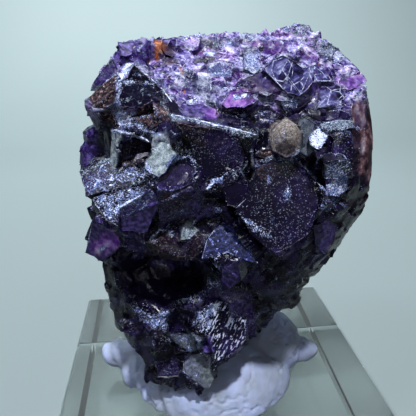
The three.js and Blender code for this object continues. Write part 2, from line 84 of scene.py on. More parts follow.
# Faces placed one by one on the side that the photograph shows: how far the face stands out in
# millimetres, its finishes with their strengths, and its corners in the photograph. A face that
# stands out is a flat crystal face of its own, one below 0 is pressed in, and None is only a
# finish. Later faces lie over earlier ones.
FACES = (
    (None, {"rind": 1.0},
     "352,104 366,102 374,130 374,160 366,195 352,228 336,252 326,252 342,222 350,195 354,160 352,130"),
    (None, {"black": 0.7}, "352,180 368,172 368,195 354,230 340,252 326,254 340,224 349,198"),
    (None, {"black": 0.5}, "350,130 358,126 363,150 358,182 349,192 352,160"),
    (None, {"hoar": 0.35, "violet": 0.5}, "354,104 366,103 368,126 356,130"),
    (None, {"violet": 1.0}, "110,48 122,38 136,38 150,40 156,52 150,62 124,64 112,58"),
    (0.1, {"violet": 0.9}, "118,42 134,42 132,54 120,56"),
    (0.3, {"violet": 0.7}, "91,90 95,80 103,68 112,62 116,74 104,83"),
    (None, {"hoar": 0.35}, "91,90 94,76 103,62 108,62 104,78"),
    (0.5, {"fracture": 1.0}, "162,39 175,37 184,41 182,53 170,56 162,50"),
    (0.3, {"fracture": 1.0}, "177,37 190,35 201,38 198,49 186,54 179,47"),
    (0.3, {"brown": 1.0}, "88,97 117,73 119,77 115,83 115,103 105,108 94,107"),
    (None, {"brown": 0.9}, "97,112 110,110 117,117 118,124 104,124 98,118"),
    (None, {"black": 0.7}, "100,124 118,125 112,131 108,146 100,152 95,135"),
    (None, {"frost": 0.6}, "112,112 126,109 138,112 130,128 118,128"),
    (None, {"brown": 0.9}, "138,106 152,103 162,102 171,112 172,121 158,126 145,126 136,116"),
    (0.35, {"black": 0.9}, "134,65 162,90 153,93 152,101 141,108 118,108 117,98 119,82 128,77 131,70"),
    (None, {"slate": 0.5}, "122,86 138,82 154,82 157,88 150,97 124,96"),
    (0.2, {"black": 0.9}, "165,94 178,104 184,114 178,118 170,110"),
    (0.2, {"violet": 1.0}, "180,106 205,104 216,109 217,121 200,119 180,114"),
    (None, {"hoar": 0.25}, "158,74 184,60 200,64 196,78 176,84"),
    (None, {"violet": 0.5, "hoar": 0.4}, "165,84 190,79 214,80 233,84 222,94 196,95"),
    (0.1, {"violet": 0.4, "frost": 0.42}, "206,63 222,60 238,64 230,77 208,78"),
    (0.3, {"violet": 0.3, "frost": 0.5}, "243,56 250,50 260,52 262,66 254,74 244,70"),
    (None, {"glow": 0.55}, "262,43 276,40 289,44 285,52 272,55 263,51"),
    (None, {"frost": 0.35}, "244,38 262,34 276,36 262,43 246,46"),
    (None, {"hoar": 0.5}, "300,37 320,38 334,44 344,57 330,60 312,55"),
    (None, {"hoar": 0.5}, "286,32 297,24 308,22 316,30 306,38 294,38"),
    (None, {"glow": 0.3}, "190,52 214,48 222,56 204,62 190,60"),
    (None, {"glow": 0.35}, "300,74 320,84 338,80 336,92 318,94"),
    (0.0, {"black": 0.55}, "238,82 250,77 262,71 269,76 282,90 268,95 240,90"),
    (None, {"violet": 0.6}, "256,74 264,71 280,88 266,92"),
    (0.5, {"phantom": 1.0},
     "263,70 272,60 283,55 292,60 303,68 313,66 314,80 305,92 299,96 288,93 283,89 270,75"),
    (None, {"black": 0.8}, "290,57 299,59 300,65 292,64"),
    (0.35, {"phantom": 0.9}, "311,66 319,63 334,81 317,81"),
    (0.2, {"phantom": 0.8}, "320,88 330,84 344,86 346,96 336,106 318,107"),
    (0.1, {"violet": 0.9}, "302,94 306,84 318,82 320,88 312,96"),
    (0.1, {"fracture": 1.0}, "330,50 341,51 349,60 360,72 346,77 334,68"),
    (0.2, {"glow": 0.75}, "338,81 350,75 360,71 367,80 360,88 345,90"),
    # A lilac crystal painted bright, as light shining through it.
    (0.5, {"glow": 1.0}, "222,104 230,91 240,88 250,95 257,100 249,106 236,107 226,108"),
    (-0.3, {"violet": 0.75}, "291,115 300,104 312,97 318,92 322,95 317,103"),
    (0.2, {"frost": 0.6}, "281,101 299,100 297,108 284,110"),
    (0.1, {"frost": 0.4}, "250,113 262,108 275,110 270,118 252,120"),
    (None, {"black": 0.7}, "218,108 232,108 252,110 250,119 232,119 216,122"),
    (0.3, {"black": 0.6}, "176,124 222,131 240,138 242,162 226,172 206,178 196,166 190,140"),
    (None, {"brown": 0.5}, "172,120 200,126 214,131 200,134 180,130"),
    (None, {"hoar": 0.22}, "251,120 268,118 271,130 268,146 254,148 250,134"),
    (0.2, {"slate": 0.75}, "298,117 306,117 314,124 315,131 311,140 316,149 308,156 300,152"),
    (None, {"grey": 0.45, "hoar": 0.25}, "298,117 306,117 314,124 316,149 308,156 300,152"),
    (None, {"tan": 1.0}, "268,134 272,123 285,117 298,122 303,136 299,150 286,157 272,150"),
    (None, {"brown": 0.4}, "275,145 285,139 296,143 296,152 286,156 277,152"),
    (0.1, {"brown": 0.9}, "256,156 262,150 271,148 274,154 266,158"),
    # A recess, pressed in and painted with the darkest finish as the shade in it.
    (-0.5, {"black": 1.0}, "318,151 328,138 333,140 333,166 322,163"),
    (0.5, {"frost": 0.88}, "308,137 317,125 329,135 320,150 310,145"),
    (0.2, {"hoar": 0.7}, "320,122 340,118 353,118 355,128 340,131 322,130"),
    (None, {"frost": 0.3}, "334,132 350,130 352,148 336,150"),
    (0.2, {"frost": 0.55}, "324,164 336,160 350,162 352,172 338,179 325,178"),
    (0.2, {"violet": 0.9}, "325,179 346,174 348,188 338,197 326,195"),
    (None, {"frost": 0.62}, "325,176 346,170 350,188 338,197 326,195"),
    (None, {"frost": 0.35}, "320,196 338,198 342,206 330,214 318,210"),
    (0.4, {"black": 0.72},
     "236,208 251,193 260,170 275,161 291,163 311,181 318,200 311,232 290,247 276,253 258,241 246,224"),
    (None, {"frost": 0.15}, "236,208 260,170 291,163 318,200 311,232 276,253"),
    (None, {"frost": 0.19}, "176,124 222,131 240,138 242,162 226,172 190,160"),
    (None, {"brown": 0.45}, "256,166 275,162 284,170 272,182 257,180"),
    # Painted dark as the shade in the gap beside the large plate.
    (None, {"black": 0.8}, "238,205 258,176 266,186 250,210 262,236 254,236"),
    (None, {"violet": 0.15}, "296,184 318,196 314,222 300,232 292,210"),
    # A crevice, pressed in and painted dark as the shade in it.
    (-0.5, {"black": 1.0}, "234,213 246,227 262,244 268,257 258,262 242,240"),
    (0.1, {"black": 0.85}, "222,188 235,182 248,186 250,200 240,208 228,205"),
    (0.1, {"violet": 0.45}, "314,226 330,221 338,228 334,241 325,253 315,246"),
    (None, {"hoar": 0.2}, "314,226 330,221 338,228 325,253"),
    (0.2, {"slate": 1.0}, "201,259 206,240 215,228 224,222 233,228 241,242 257,262 245,261 228,253 214,257"),
    (0.1, {"violet": 0.7}, "222,268 238,266 241,280 230,288 222,282"),
    (None, {"violet": 0.7}, "78,140 88,130 97,128 100,150 88,165 80,168"),
    (0.2, {"hoar": 0.66}, "80,172 100,160 113,156 118,172 140,168 150,174 150,184 130,186 100,192 86,196"),
    (None, {"frost": 0.4}, "84,178 104,164 130,172 128,186 100,192 88,194"),
    (0.3, {"frost": 0.5}, "92,198 115,190 140,185 151,183 140,196 121,206 118,226 106,220 97,208"),
    (0.2, {"violet": 0.9}, "120,209 150,189 160,203 147,232 122,231"),
    (None, {"frost": 0.34}, "116,204 150,186 158,196 140,208 124,222"),
    (0.2, {"black": 0.3}, "158,190 176,190 196,182 206,200 190,218 160,222"),
    (None, {"violet": 0.35}, "156,190 196,182 206,200 190,218 160,224"),
    (None, {"brown": 0.3}, "160,190 186,186 192,206 170,216"),
    (None, {"frost": 0.2}, "156,190 196,182 206,200 190,218 160,224"),
    (0.2, {"grey": 0.8}, "112,130 122,131 120,150 115,173 110,160"),
    (0.0, {"black": 0.6}, "122,150 130,143 140,142 150,147 150,160 140,165 125,168 118,172 120,158"),
    (None, {"brown": 0.45, "frost": 0.24}, "122,150 130,143 140,142 150,147 150,160 122,168"),
    (None, {"hoar": 0.4}, "166,138 180,135 193,146 197,158 182,161 172,150"),
    (None, {"grey": 0.7, "hoar": 0.3}, "150,136 158,131 168,134 172,150 152,152"),
    (0.35, {"grey": 1.0},
     "152,148 160,141 166,142 172,150 178,153 170,163 166,172 158,177 150,172 145,167 146,160 152,155"),
    (0.1, {"violet": 0.2}, "169,170 180,163 190,165 198,171 192,178 175,188 160,191 156,182"),
    (0.3, {"violet": 0.7}, "94,213 85,252 103,262 120,247 119,237 106,225"),
    # Light shining through the violet chip, painted as a lilac glow.
    (None, {"glow": 1.0}, "94,247 101,236 112,228 119,240 119,247 103,255"),
    (None, {"violet": 0.45}, "121,236 136,232 147,240 142,252 126,250"),
    (None, {"brown": 1.0, "black": 0.4},
     "143,250 150,240 160,232 172,234 182,241 199,233 203,240 197,257 170,264 150,259"),
    (0.2, {"grey": 0.8, "hoar": 0.4}, "180,240 183,226 188,221 199,230 190,239"),
    # The hollow, painted near black as the shade inside it.
    (None, {"black": 1.0},
     "120,254 150,264 190,263 206,264 198,286 180,296 165,307 140,305 126,292 115,270"),
    (None, {"frost": 0.45},
     "128,303 140,308 155,312 168,308 178,299 198,294 196,302 180,306 171,314 168,331 154,334 144,322"),
    # A pit, pressed in and painted dark as the shade in it.
    (-0.2, {"black": 0.6}, "170,309 182,304 196,304 196,318 190,328 172,329"),
    (None, {"violet": 0.5, "frost": 0.22}, "214,292 250,292 256,326 246,340 246,318 232,310"),
    # A polished face, whose bright dashes are painted glints.
    (0.3, {"gloss": 1.0}, "197,312 212,302 222,301 232,312 246,318 245,340 229,358 216,360 206,336 196,330"),
    # A painted highlight on the polished face, laid as frost, with more frost brightening it.
    (0.35, {"frost": 0.95}, "203,312 212,303 222,302 219,309 208,315"),
    (None, {"frost": 0.5}, "196,312 212,304 215,330 200,335"),
    (0.1, {"violet": 0.6}, "230,303 241,305 240,318 230,318"),
    (0.1, {"violet": 0.5}, "247,326 257,322 256,337 248,338"),
    (0.25, {"grey": 0.4}, "168,333 180,335 192,332 202,338 203,348 190,352 178,344"),
    (None, {"frost": 0.45}, "168,333 180,335 192,332 202,338 203,348 190,352"),
    (0.3, {"violet": 0.9}, "203,338 209,335 215,351 203,353"),
    (None, {"violet": 0.6}, "184,362 192,355 200,366 203,387 192,378 183,371"),
    (0.4, {"grey": 0.45}, "184,362 192,355 205,352 217,360 217,372 210,388 203,387 192,378 183,371"),
    (0.1, {"violet": 0.2, "frost": 0.24}, "155,362 178,360 179,376 158,377"),
    (None, {"black": 0.55}, "150,378 188,380 196,400 165,398"),
)

# Strokes over the faces: the finish, the half width in millimetres, the strength, and the
# places that the stroke runs through in the photograph. "bare" wipes back to clean crystal.
STROKES = (
    # The lump's white highlights, painted with frost.
    ("frost", 0.14, 1.0, "135,54 138,49 142,46"),
    ("frost", 0.1, 1.0, "141,56 146,48"),
    ("hoar", 1.0, 0.3, "98,80 104,70 110,63"),
    ("rust", 0.6, 0.95, "158,43 161,48"),
    ("rust", 0.4, 0.8, "157,51 157,59"),
    ("rind", 1.0, 0.6, "167,51 169,60"),
    ("rust", 0.25, 0.6, "180,68 184,75"),
    ("rust", 0.2, 0.8, "184,91"),
    ("rust", 0.2, 0.7, "148,61"),
    ("glow", 0.4, 0.7, "197,55 208,51"),
    ("black", 0.45, 0.85, "197,61 212,59"),
    ("rust", 0.25, 0.45, "202,52"),
    ("frost", 0.3, 0.95, "205,53 213,54"),
    ("black", 0.2, 0.7, "176,50 181,46 186,49"),
    ("frost", 0.5, 0.7, "184,37 197,35"),
    ("black", 0.5, 0.7, "206,42 216,46"),
    ("hoar", 0.8, 0.5, "216,44 234,42"),
    ("frost", 0.25, 0.9, "228,43 234,45"),
    ("glow", 0.5, 0.7, "246,44 258,42"),
    ("black", 0.35, 1.0, "262,49"),
    ("frost", 0.4, 0.8, "286,30 292,25 302,23"),
    ("rust", 0.15, 0.9, "323,35"),
    ("frost", 0.3, 0.6, "318,60 330,58 340,62"),
    ("violet", 0.8, 0.8, "328,72 338,70"),
    # A white-lilac painted highlight, laid as frost.
    ("frost", 0.3, 0.9, "186,103 196,100"),
    ("frost", 0.4, 0.5, "220,88 232,90"),
    # A painted highlight on the glowing crystal, laid as frost.
    ("frost", 0.4, 0.95, "236,97 245,95"),
    ("glow", 0.8, 0.6, "209,116 214,112"),
    ("frost", 0.2, 0.9, "228,112 246,116"),
    ("hoar", 0.5, 0.5, "256,97 274,99"),
    ("hoar", 0.9, 0.35, "356,94 366,98"),
    ("rind", 0.9, 0.5, "360,106 364,116"),
    ("frost", 0.2, 0.7, "354,126 364,130"),
    ("frost", 0.25, 0.8, "118,83 131,81"),
    ("frost", 0.2, 0.8, "150,80 157,83"),
    ("frost", 0.7, 0.8, "128,65 123,72 120,80"),
    ("frost", 0.35, 0.7, "118,84 118,106"),
    ("frost", 0.2, 0.7, "128,84 142,82 154,84"),
    ("frost", 0.16, 0.7, "134,74 143,76"),
    ("hoar", 0.35, 0.7, "153,94 160,96 166,108 174,119"),
    ("frost", 0.6, 0.5, "134,122 146,130 156,134"),
    ("frost", 0.25, 1.0, "112,130 130,134 150,142"),
    ("frost", 0.9, 0.5, "126,174 146,172"),
    ("bare", 0.12, 0.8, "90,184 106,176 122,172"),
    ("bare", 0.1, 0.8, "96,192 116,184 134,181"),
    ("bare", 0.14, 0.7, "84,176 96,168"),
    ("frost", 0.12, 0.9, "84,188 100,180 116,178"),
    ("frost", 0.12, 0.9, "88,172 104,164 114,160"),
    ("frost", 0.1, 0.9, "104,190 126,180 146,176"),
    ("frost", 0.3, 0.8, "146,164 154,176"),
    ("frost", 0.5, 0.5, "168,166 176,158"),
    ("frost", 0.25, 0.7, "178,158 190,156 198,166 196,172"),
    ("frost", 0.25, 0.85, "116,209 128,202 140,197"),
    ("frost", 0.25, 0.6, "140,212 148,202 152,194"),
    ("hoar", 0.3, 0.95, "174,116 200,122 230,129 258,136"),
    ("frost", 0.16, 0.9, "176,116 200,121 224,127"),
    ("hoar", 0.2, 0.8, "121,99 136,98 150,95"),
    ("hoar", 0.12, 0.9, "124,92 140,90 153,88"),
    ("hoar", 0.12, 0.8, "126,103 142,103"),
    ("frost", 0.3, 0.75, "207,188 213,181 222,178 231,172"),
    ("hoar", 0.5, 0.5, "232,178 244,168 250,160"),
    ("hoar", 0.3, 0.9, "258,162 272,158 290,161 299,152"),
    ("frost", 0.35, 0.9, "251,152 253,166"),
    ("hoar", 0.35, 0.7, "241,138 252,133"),
    ("frost", 0.3, 0.75, "296,160 310,172 324,189"),
    ("frost", 0.2, 0.9, "269,178"),
    ("frost", 0.2, 0.9, "256,189"),
    ("frost", 0.3, 0.7, "288,192 292,196"),
    ("frost", 0.5, 0.55, "250,222 258,230 268,234"),
    ("frost", 0.2, 0.7, "234,209 247,222"),
    ("frost", 0.2, 0.4, "274,238 280,248"),
    ("violet", 0.7, 0.5, "270,253 284,252 292,246"),
    ("violet", 0.5, 0.7, "130,226 142,230"),
    # A painted glow on the chip, and in frost a painted highlight on it.
    ("glow", 0.9, 1.0, "98,248 108,242"),
    ("frost", 0.3, 1.0, "100,250 108,246"),
    ("brown", 0.35, 0.6, "186,136 206,144 226,140"),
    ("violet", 1.0, 0.3, "214,140 230,150 236,160"),
    ("brown", 0.6, 0.5, "164,198 176,206 190,198"),
    ("frost", 0.12, 0.8, "168,184 174,196 170,206"),
    ("frost", 0.1, 0.8, "178,196 190,200"),
    ("frost", 0.1, 0.8, "160,212 172,214 184,210"),
    ("violet", 0.9, 0.6, "190,206 200,214 210,210"),
    ("frost", 0.14, 0.8, "212,212 220,216"),
    ("hoar", 0.3, 0.5, "244,176 252,170 262,166"),
    ("frost", 0.25, 0.8, "144,247 152,238 160,230 172,232"),
    ("violet", 0.4, 0.6, "152,262 172,266 190,262"),
    ("hoar", 0.12, 0.8, "146,252 156,262 172,266 190,262 201,252"),
    ("hoar", 0.14, 0.8, "162,233 172,235 182,242 198,234"),
    ("frost", 0.12, 0.5, "202,261 215,256 228,252 244,261"),
    ("frost", 0.4, 0.5, "200,300 208,290 216,280"),
    # A white painted highlight on the polished face, laid as frost.
    ("frost", 0.4, 0.6, "194,322 200,318"),
    ("frost", 0.2, 0.9, "184,372 192,380"),
    # A bright painted highlight on the grey crystal, laid as frost.
    ("frost", 0.2, 1.0, "197,375"),
    # A stroke of the polished finish, with its painted glints.
    ("gloss", 0.8, 0.8, "212,362 220,370"),
)

# The stone's upper outline in the photograph, from left to right.
SKYLINE = (
    (104, 65), (111, 58), (116, 48), (121, 41), (136, 39), (150, 38), (162, 37), (174, 40), (186, 36),
    (200, 35), (212, 34), (228, 32), (246, 33), (258, 33), (266, 29), (276, 28), (288, 26), (294, 24),
    (302, 23), (310, 27), (318, 31), (324, 34), (330, 42), (340, 48), (348, 58), (356, 68), (362, 75),
)

# Sharp crystal edges, drawn as thin ridges whose pale colour is frost and also a painted highlight
# where the edges catch the light: the half width in millimetres, and the places.
EDGES = (
    (0.035, "283,55 272,60 262,70"),
    (0.03, "275,58 264,64"),
    (0.04, "280,67 289,78 302,95"),
    (0.03, "283,71 290,82 297,91"),
    (0.03, "287,58 293,68 292,76"),
    (0.03, "288,60 279,75"),
    (0.07, "270,75 283,89"),
    (0.035, "311,70 305,84 300,95"),
    (0.045, "311,67 317,81 334,81"),
    (0.05, "313,66 322,72 328,80"),
    (0.03, "292,60 303,68 313,66"),
    (0.03, "336,62 344,68 346,78 336,80"),
    (0.03, "318,107 333,90 346,88"),
    (0.035, "316,107 330,108 344,103"),
    (0.03, "303,94 312,84"),
    (0.035, "323,165 323,178"),
    (0.045, "322,124 340,120 354,122"),
    (0.04, "324,127 346,128"),
    (0.035, "236,208 246,199"),
    (0.1, "134,65 148,76 162,89 172,102"),
    (0.12, "173,115 186,118 200,121 216,125"),
    (0.1, "212,125 230,128 246,132 260,137"),
    (0.03, "318,60 330,70 334,80"),
    (0.03, "320,68 332,62 344,66"),
    (0.025, "326,58 338,76"),
    (0.03, "300,50 314,56 328,54"),
    (0.025, "292,46 306,52 318,48"),
    (0.03, "336,102 344,94 352,92"),
    (0.03, "324,112 340,110 352,114"),
    (0.025, "246,58 256,72"),
    (0.03, "244,70 256,56 266,54"),
    (0.025, "250,96 264,92 280,96"),
    (0.03, "200,86 216,80 232,84"),
    (0.03, "324,127 338,122 352,120"),
    (0.04, "324,164 336,170 350,164"),
    (0.04, "298,162 308,172 322,188"),
    (0.03, "160,152 152,148 146,160"),
    (0.13, "112,130 122,132 136,136 152,143"),
    (0.03, "117,79 117,107"),
    (0.035, "88,97 104,84 117,73"),
    (0.03, "86,252 94,214"),
    (0.03, "202,259 207,240 216,228"),
    (0.03, "184,362 183,371 192,379 203,387"),
    (0.03, "222,104 230,91"),
)


def colour(code):
    """A colour from its sRGB hex value, as linear red, green, blue and alpha."""
    shares = [int(code[i:i + 2], 16) / 255 for i in (1, 3, 5)]
    linear = [s / 12.92 if s <= 0.04045 else ((s + 0.055) / 1.055) ** 2.4 for s in shares]
    return (*linear, 1.0)


def corners_of(outline):
    """The places that an outline or a stroke is written as, in pixels across and down."""
    return [tuple(map(float, place.split(","))) for place in outline.split()]


def smooth_step(low, high, value):
    share = np.clip((value - low) / (high - low), 0.0, 1.0)
    return share * share * (3 - 2 * share)


def bumps(points, size, seed=0.0):
    """Smooth values from -1 to 1 whose bumps are about as wide as the size."""
    cells = points / size
    low = np.floor(cells)
    part = cells - low
    part = part * part * (3 - 2 * part)
    total = np.zeros(len(points))
    for corner in product((0, 1), repeat=3):
        hashed = np.sin((low + corner) @ (127.1, 311.7, 74.7) + seed) * 43758.5453
        share = np.prod(np.where(corner, part, 1 - part), axis=1)
        total += share * (2 * (hashed - np.floor(hashed)) - 1)
    return total


def photo_ray(across, down):
    """The direction from the camera through a place in the photograph."""
    sight = Vector((across - PHOTO_MIDDLE, FOCAL_PIXELS, PHOTO_MIDDLE - down))
    sight.rotate(Euler((-CAMERA_PITCH, 0.0, -CAMERA_YAW), "XYZ"))
    return sight.normalized()


def surface_place(tree, across, down):
    """Where a place in the photograph lies on the stone, or the nearest place to that line."""
    sight = photo_ray(across, down)
    hit = tree.ray_cast(CAMERA_PLACE, sight)[0]
    if hit is not None:
        return hit
    along = (STONE_MIDDLE - CAMERA_PLACE).dot(sight)
    return tree.find_nearest(CAMERA_PLACE + sight * along)[0]


def photo_places(points):
    """Where points appear in the photograph, in pixels across and down."""
    turn = Euler((-CAMERA_PITCH, 0.0, -CAMERA_YAW), "XYZ").to_matrix()
    across, along, up = ((points - np.array(CAMERA_PLACE)) @ np.array(turn)).T
    return PHOTO_MIDDLE + FOCAL_PIXELS * across / along, PHOTO_MIDDLE - FOCAL_PIXELS * up / along


def in_sight(points, normals, tree, slack=0.6 * MM):
    """1 for each point that the photograph shows, and 0 for the rest."""
    eye = np.array(CAMERA_PLACE)
    facing = np.sum((eye - points) * normals, axis=1) > 0
    seen = np.zeros(len(points))
    for i in np.flatnonzero(facing):
        sight = Vector(points[i] - eye)
        hit = tree.ray_cast(CAMERA_PLACE, sight.normalized())[3]
        seen[i] = hit is None or hit > sight.length - slack
    return seen


def inside(places, corners, soft):
    """How far inside an outline in the photograph each place is, from 0 to 1."""
    x, y = places
    gap = np.full(len(x), np.inf)
    odd = np.zeros(len(x), bool)
    for (ax, ay), (bx, by) in zip(corners, (*corners[1:], corners[0])):
        reach = np.array((bx - ax, by - ay), float)
        share = ((x - ax) * reach[0] + (y - ay) * reach[1]) / (reach @ reach)
        share = share.clip(0, 1)
        gap = np.minimum(gap, np.hypot(x - ax - share * reach[0], y - ay - share * reach[1]))
        odd ^= ((ay > y) != (by > y)) & (x < reach[0] * (y - ay) / (reach[1] or 1) + ax)
    return smooth_step(-soft, soft, np.where(odd, gap, -gap))


def stroke_places(tree, corners, step=3.0):
    """Places on the stone along a stroke, a few pixels apart."""
    places = [surface_place(tree, *corners[0])]
    for start, end in zip(corners, corners[1:]):
        count = max(1, round(math.dist(start, end) / step))
        for i in range(1, count + 1):
            share = i / count
            places.append(surface_place(tree, *(a + (b - a) * share for a, b in zip(start, end))))
    return np.array(places)


def nearest_distance(points, places):
    """Each point's distance from the nearest of a few places."""
    best = np.full(len(points), np.inf)
    for place in places:
        best = np.minimum(best, np.sum((points - place) ** 2, axis=1))
    return np.sqrt(best)


def vertex_array(mesh, name="co"):
    """The place or the normal of each vertex."""
    values = np.empty(len(mesh.vertices) * 3, np.float32)
    if name == "co":
        mesh.vertices.foreach_get("co", values)
    else:
        mesh.vertex_normals.foreach_get("vector", values)
    return values.reshape(-1, 3).astype(float)


def move_vertices(mesh, points):
    mesh.vertices.foreach_set("co", points.astype(np.float32).ravel())
    mesh.update()


def neighbour_mean(mesh, values, rounds=1):
    """Each vertex's mean of the values at its neighbours, taken a number of times."""
    edges = np.empty(len(mesh.edges) * 2, np.int32)
    mesh.edges.foreach_get("vertices", edges)
    edges = edges.reshape(-1, 2)
    count = len(values)
    ends = np.concatenate((edges[:, 0], edges[:, 1]))
    others = np.concatenate((edges[:, 1], edges[:, 0]))
    number = np.bincount(ends, minlength=count)
    columns = values.reshape(count, -1).T
    for _ in range(rounds):
        columns = [np.bincount(ends, column[others], count) / number for column in columns]
    return np.stack(columns, 1).reshape(values.shape)


def convexity(mesh):
    """How far each vertex stands out from its surroundings: over 0 on edges, under 0 in cracks."""
    points = vertex_array(mesh)
    standing = points - neighbour_mean(mesh, points, 3)
    return np.sum(standing * vertex_array(mesh, "normal"), axis=1) / MM


def linked(name, data):
    made = bpy.data.objects.new(name, data)
    bpy.context.scene.collection.objects.link(made)
    return made


def finished(shape, name):
    """An object made from a bmesh, which is freed."""
    mesh = bpy.data.meshes.new(name)
    shape.to_mesh(mesh)
    shape.free()
    return linked(name, mesh)


def evaluated(thing):
    """An object's mesh with every modifier applied."""
    bpy.context.view_layer.update()
    graph = bpy.context.evaluated_depsgraph_get()
    return bpy.data.meshes.new_from_object(thing.evaluated_get(graph))


def settled(thing):
    """Applies every modifier of an object."""
    mesh = evaluated(thing)
    thing.modifiers.clear()
    thing.data = mesh
    mesh.name = thing.name


def remeshed_copy(node, name, voxel):
    """A new object from a node's mesh, its loose triangles joined and remade in even cells."""
    shape = bmesh.new()
    shape.from_mesh(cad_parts[node].data)
    bmesh.ops.remove_doubles(shape, verts=shape.verts, dist=0.001 * MM)
    thing = finished(shape, name)
    remesh = thing.modifiers.new("Remesh", "REMESH")
    remesh.mode = "VOXEL"
    remesh.voxel_size = voxel
    remesh.use_smooth_shade = True
    settled(thing)
    return thing


def thinned(thing, triangles):
    """Merges the flattest faces until the mesh has no more than the triangles."""
    thing.data.calc_loop_triangles()
    have = len(thing.data.loop_triangles)
    if have > triangles:
        thing.modifiers.new("Decimate", "DECIMATE").ratio = triangles / have
        settled(thing)
    thing.data.shade_smooth()


def tree_of(mesh):
    mesh.calc_loop_triangles()
    corners = [tuple(t.vertices) for t in mesh.loop_triangles]
    return BVHTree.FromPolygons([v.co.copy() for v in mesh.vertices], corners)


def ground_finish(points, shown):
    """The finishes before any stroke: a broken crown and back, and a rind on the right."""
    x, y, z = (points / MM).T
    broad = bumps(points, 5.0 * MM, 1.0)
    small = bumps(points, 1.4 * MM, 2.0)
    crown = smooth_step(69.4, 71.4, z + 0.8 * small)
    behind = smooth_step(2.0, 6.0, y + 1.5 * broad) * (1 - crown) * (1 - shown)
    patch = bumps(points, 7.0 * MM, 11.0)
    right = smooth_step(16.6, 18.6, x + 0.6 * small + 1.7 * broad + 1.8 * patch)
    right *= smooth_step(40.0, 48.0, z + 7.0 * patch + 1.5 * small)
    right *= 1 - smooth_step(66.5, 70.5, z + 3.5 * broad + small)
    finish = {name: np.zeros(len(points)) for name in FINISHES}
    finish["fracture"] = 0.85 * crown + behind * smooth_step(-0.1, 0.5, broad) * 0.7
    finish["violet"] = behind * smooth_step(0.0, 0.5, -broad) * 0.8
    finish["rind"] = right + behind * smooth_step(0.45, 0.8, bumps(points, 7.0 * MM, 3.0))
    finish["frost"] = 0.015 + 0.1 * smooth_step(0.3, 0.9, small) * (1 - behind)
    finish["frost"] *= smooth_step(34.0, 40.0, z) * (1 - right)
    return finish


def painted_finish(mesh):
    """The share of each finish at each vertex: the ground, then the faces, then the strokes."""
    tree = tree_of(mesh)
    points = vertex_array(mesh)
    seen = in_sight(points, vertex_array(mesh, "normal"), tree)
    finish = ground_finish(points, neighbour_mean(mesh, seen, 5))
    ragged = 0.7 * bumps(points, 0.7 * MM, 4.0) + 0.3 * bumps(points, 0.35 * MM, 5.0)
    across, down = photo_places(points)
    places = across + 0.8 * ragged, down + 0.8 * bumps(points, 0.8 * MM, 6.0)

    def lay(name, strength, cover):
        covers = name in COVERS
        for other in COVERS if covers else FINISHES:
            finish[other] *= 1 - cover * (1 if covers else strength)
        if name != "bare":
            finish[name] += cover * strength

    for _, finishes, outline in FACES:
        for name, strength in finishes.items():
            lay(name, strength, seen * inside(places, corners_of(outline), 2.5 if name in COVERS else 1.0))
    for name, width, strength, stroke in STROKES:
        gap = nearest_distance(points, stroke_places(tree, corners_of(stroke))) / (width * MM)
        outer, inner = (1.7, 0.2) if name in COVERS else (1.25, 0.75)
        lay(name, strength, smooth_step(outer, inner, gap + 0.35 * ragged))
    return finish


def flattened(mesh, furthest=1.2 * MM, smoothings=12, fewest=9):
    """Presses the faces below 0 in, smooths the tan lump, and returns each vertex's share of a face.

    No vertex moves further than the furthest, and a face needs the fewest vertices to be pressed."""
    points = vertex_array(mesh)
    seen = in_sight(points, vertex_array(mesh, "normal"), tree_of(mesh))
    places = photo_places(points)
    whole = np.zeros(len(points))
    for rise, finishes, outline in FACES:
        if rise is None and "tan" not in finishes:
            continue
        share = seen * inside(places, corners_of(outline), 0.6)
        whole = np.maximum(whole, share)
        for _ in range(smoothings if "tan" in finishes else 0):
            points += share[:, None] * (neighbour_mean(mesh, points) - points)
        inner = points[share > 0.5]
        if rise is None or rise >= 0 or len(inner) < fewest:
            continue
        centre = inner.mean(0)
        normal = np.linalg.svd(inner - centre, full_matrices=False)[2][2]
        normal *= np.sign(normal @ (np.array(CAMERA_PLACE) - centre))
        drop = (centre - points) @ normal + rise * MM
        points += normal * (share * drop.clip(-furthest, furthest))[:, None]
    move_vertices(mesh, points)
    return whole


def fitted_to_skyline(mesh, reach=14.0, bin_width=4.0):
    """Moves the crown's ridge up or down to the upper outline that the photograph shows."""
    points = vertex_array(mesh)
    across, down = photo_places(points)
    left, right = SKYLINE[0][0], SKYLINE[-1][0]
    bins = ((across - left) / bin_width).astype(int)
    count = int((right - left) / bin_width)
    use = (bins >= 0) & (bins < count) & (across > left)
    top = np.full(count, np.inf)
    np.minimum.at(top, bins[use], down[use])
    middles = left + (np.arange(count) + 0.5) * bin_width
    shift = (np.interp(middles, *zip(*SKYLINE)) - top).clip(-6.0, 8.0)
    near = smooth_step(reach, 0.0, down[use] - top[bins[use]])
    pixels = np.zeros(len(points))
    pixels[use] = np.interp(across[use], middles, shift) * near
    along = (points - np.array(CAMERA_PLACE)) @ np.array(photo_ray(PHOTO_MIDDLE, PHOTO_MIDDLE))
    points[:, 2] -= pixels * along / FOCAL_PIXELS / math.cos(CAMERA_PITCH)
    move_vertices(mesh, points)


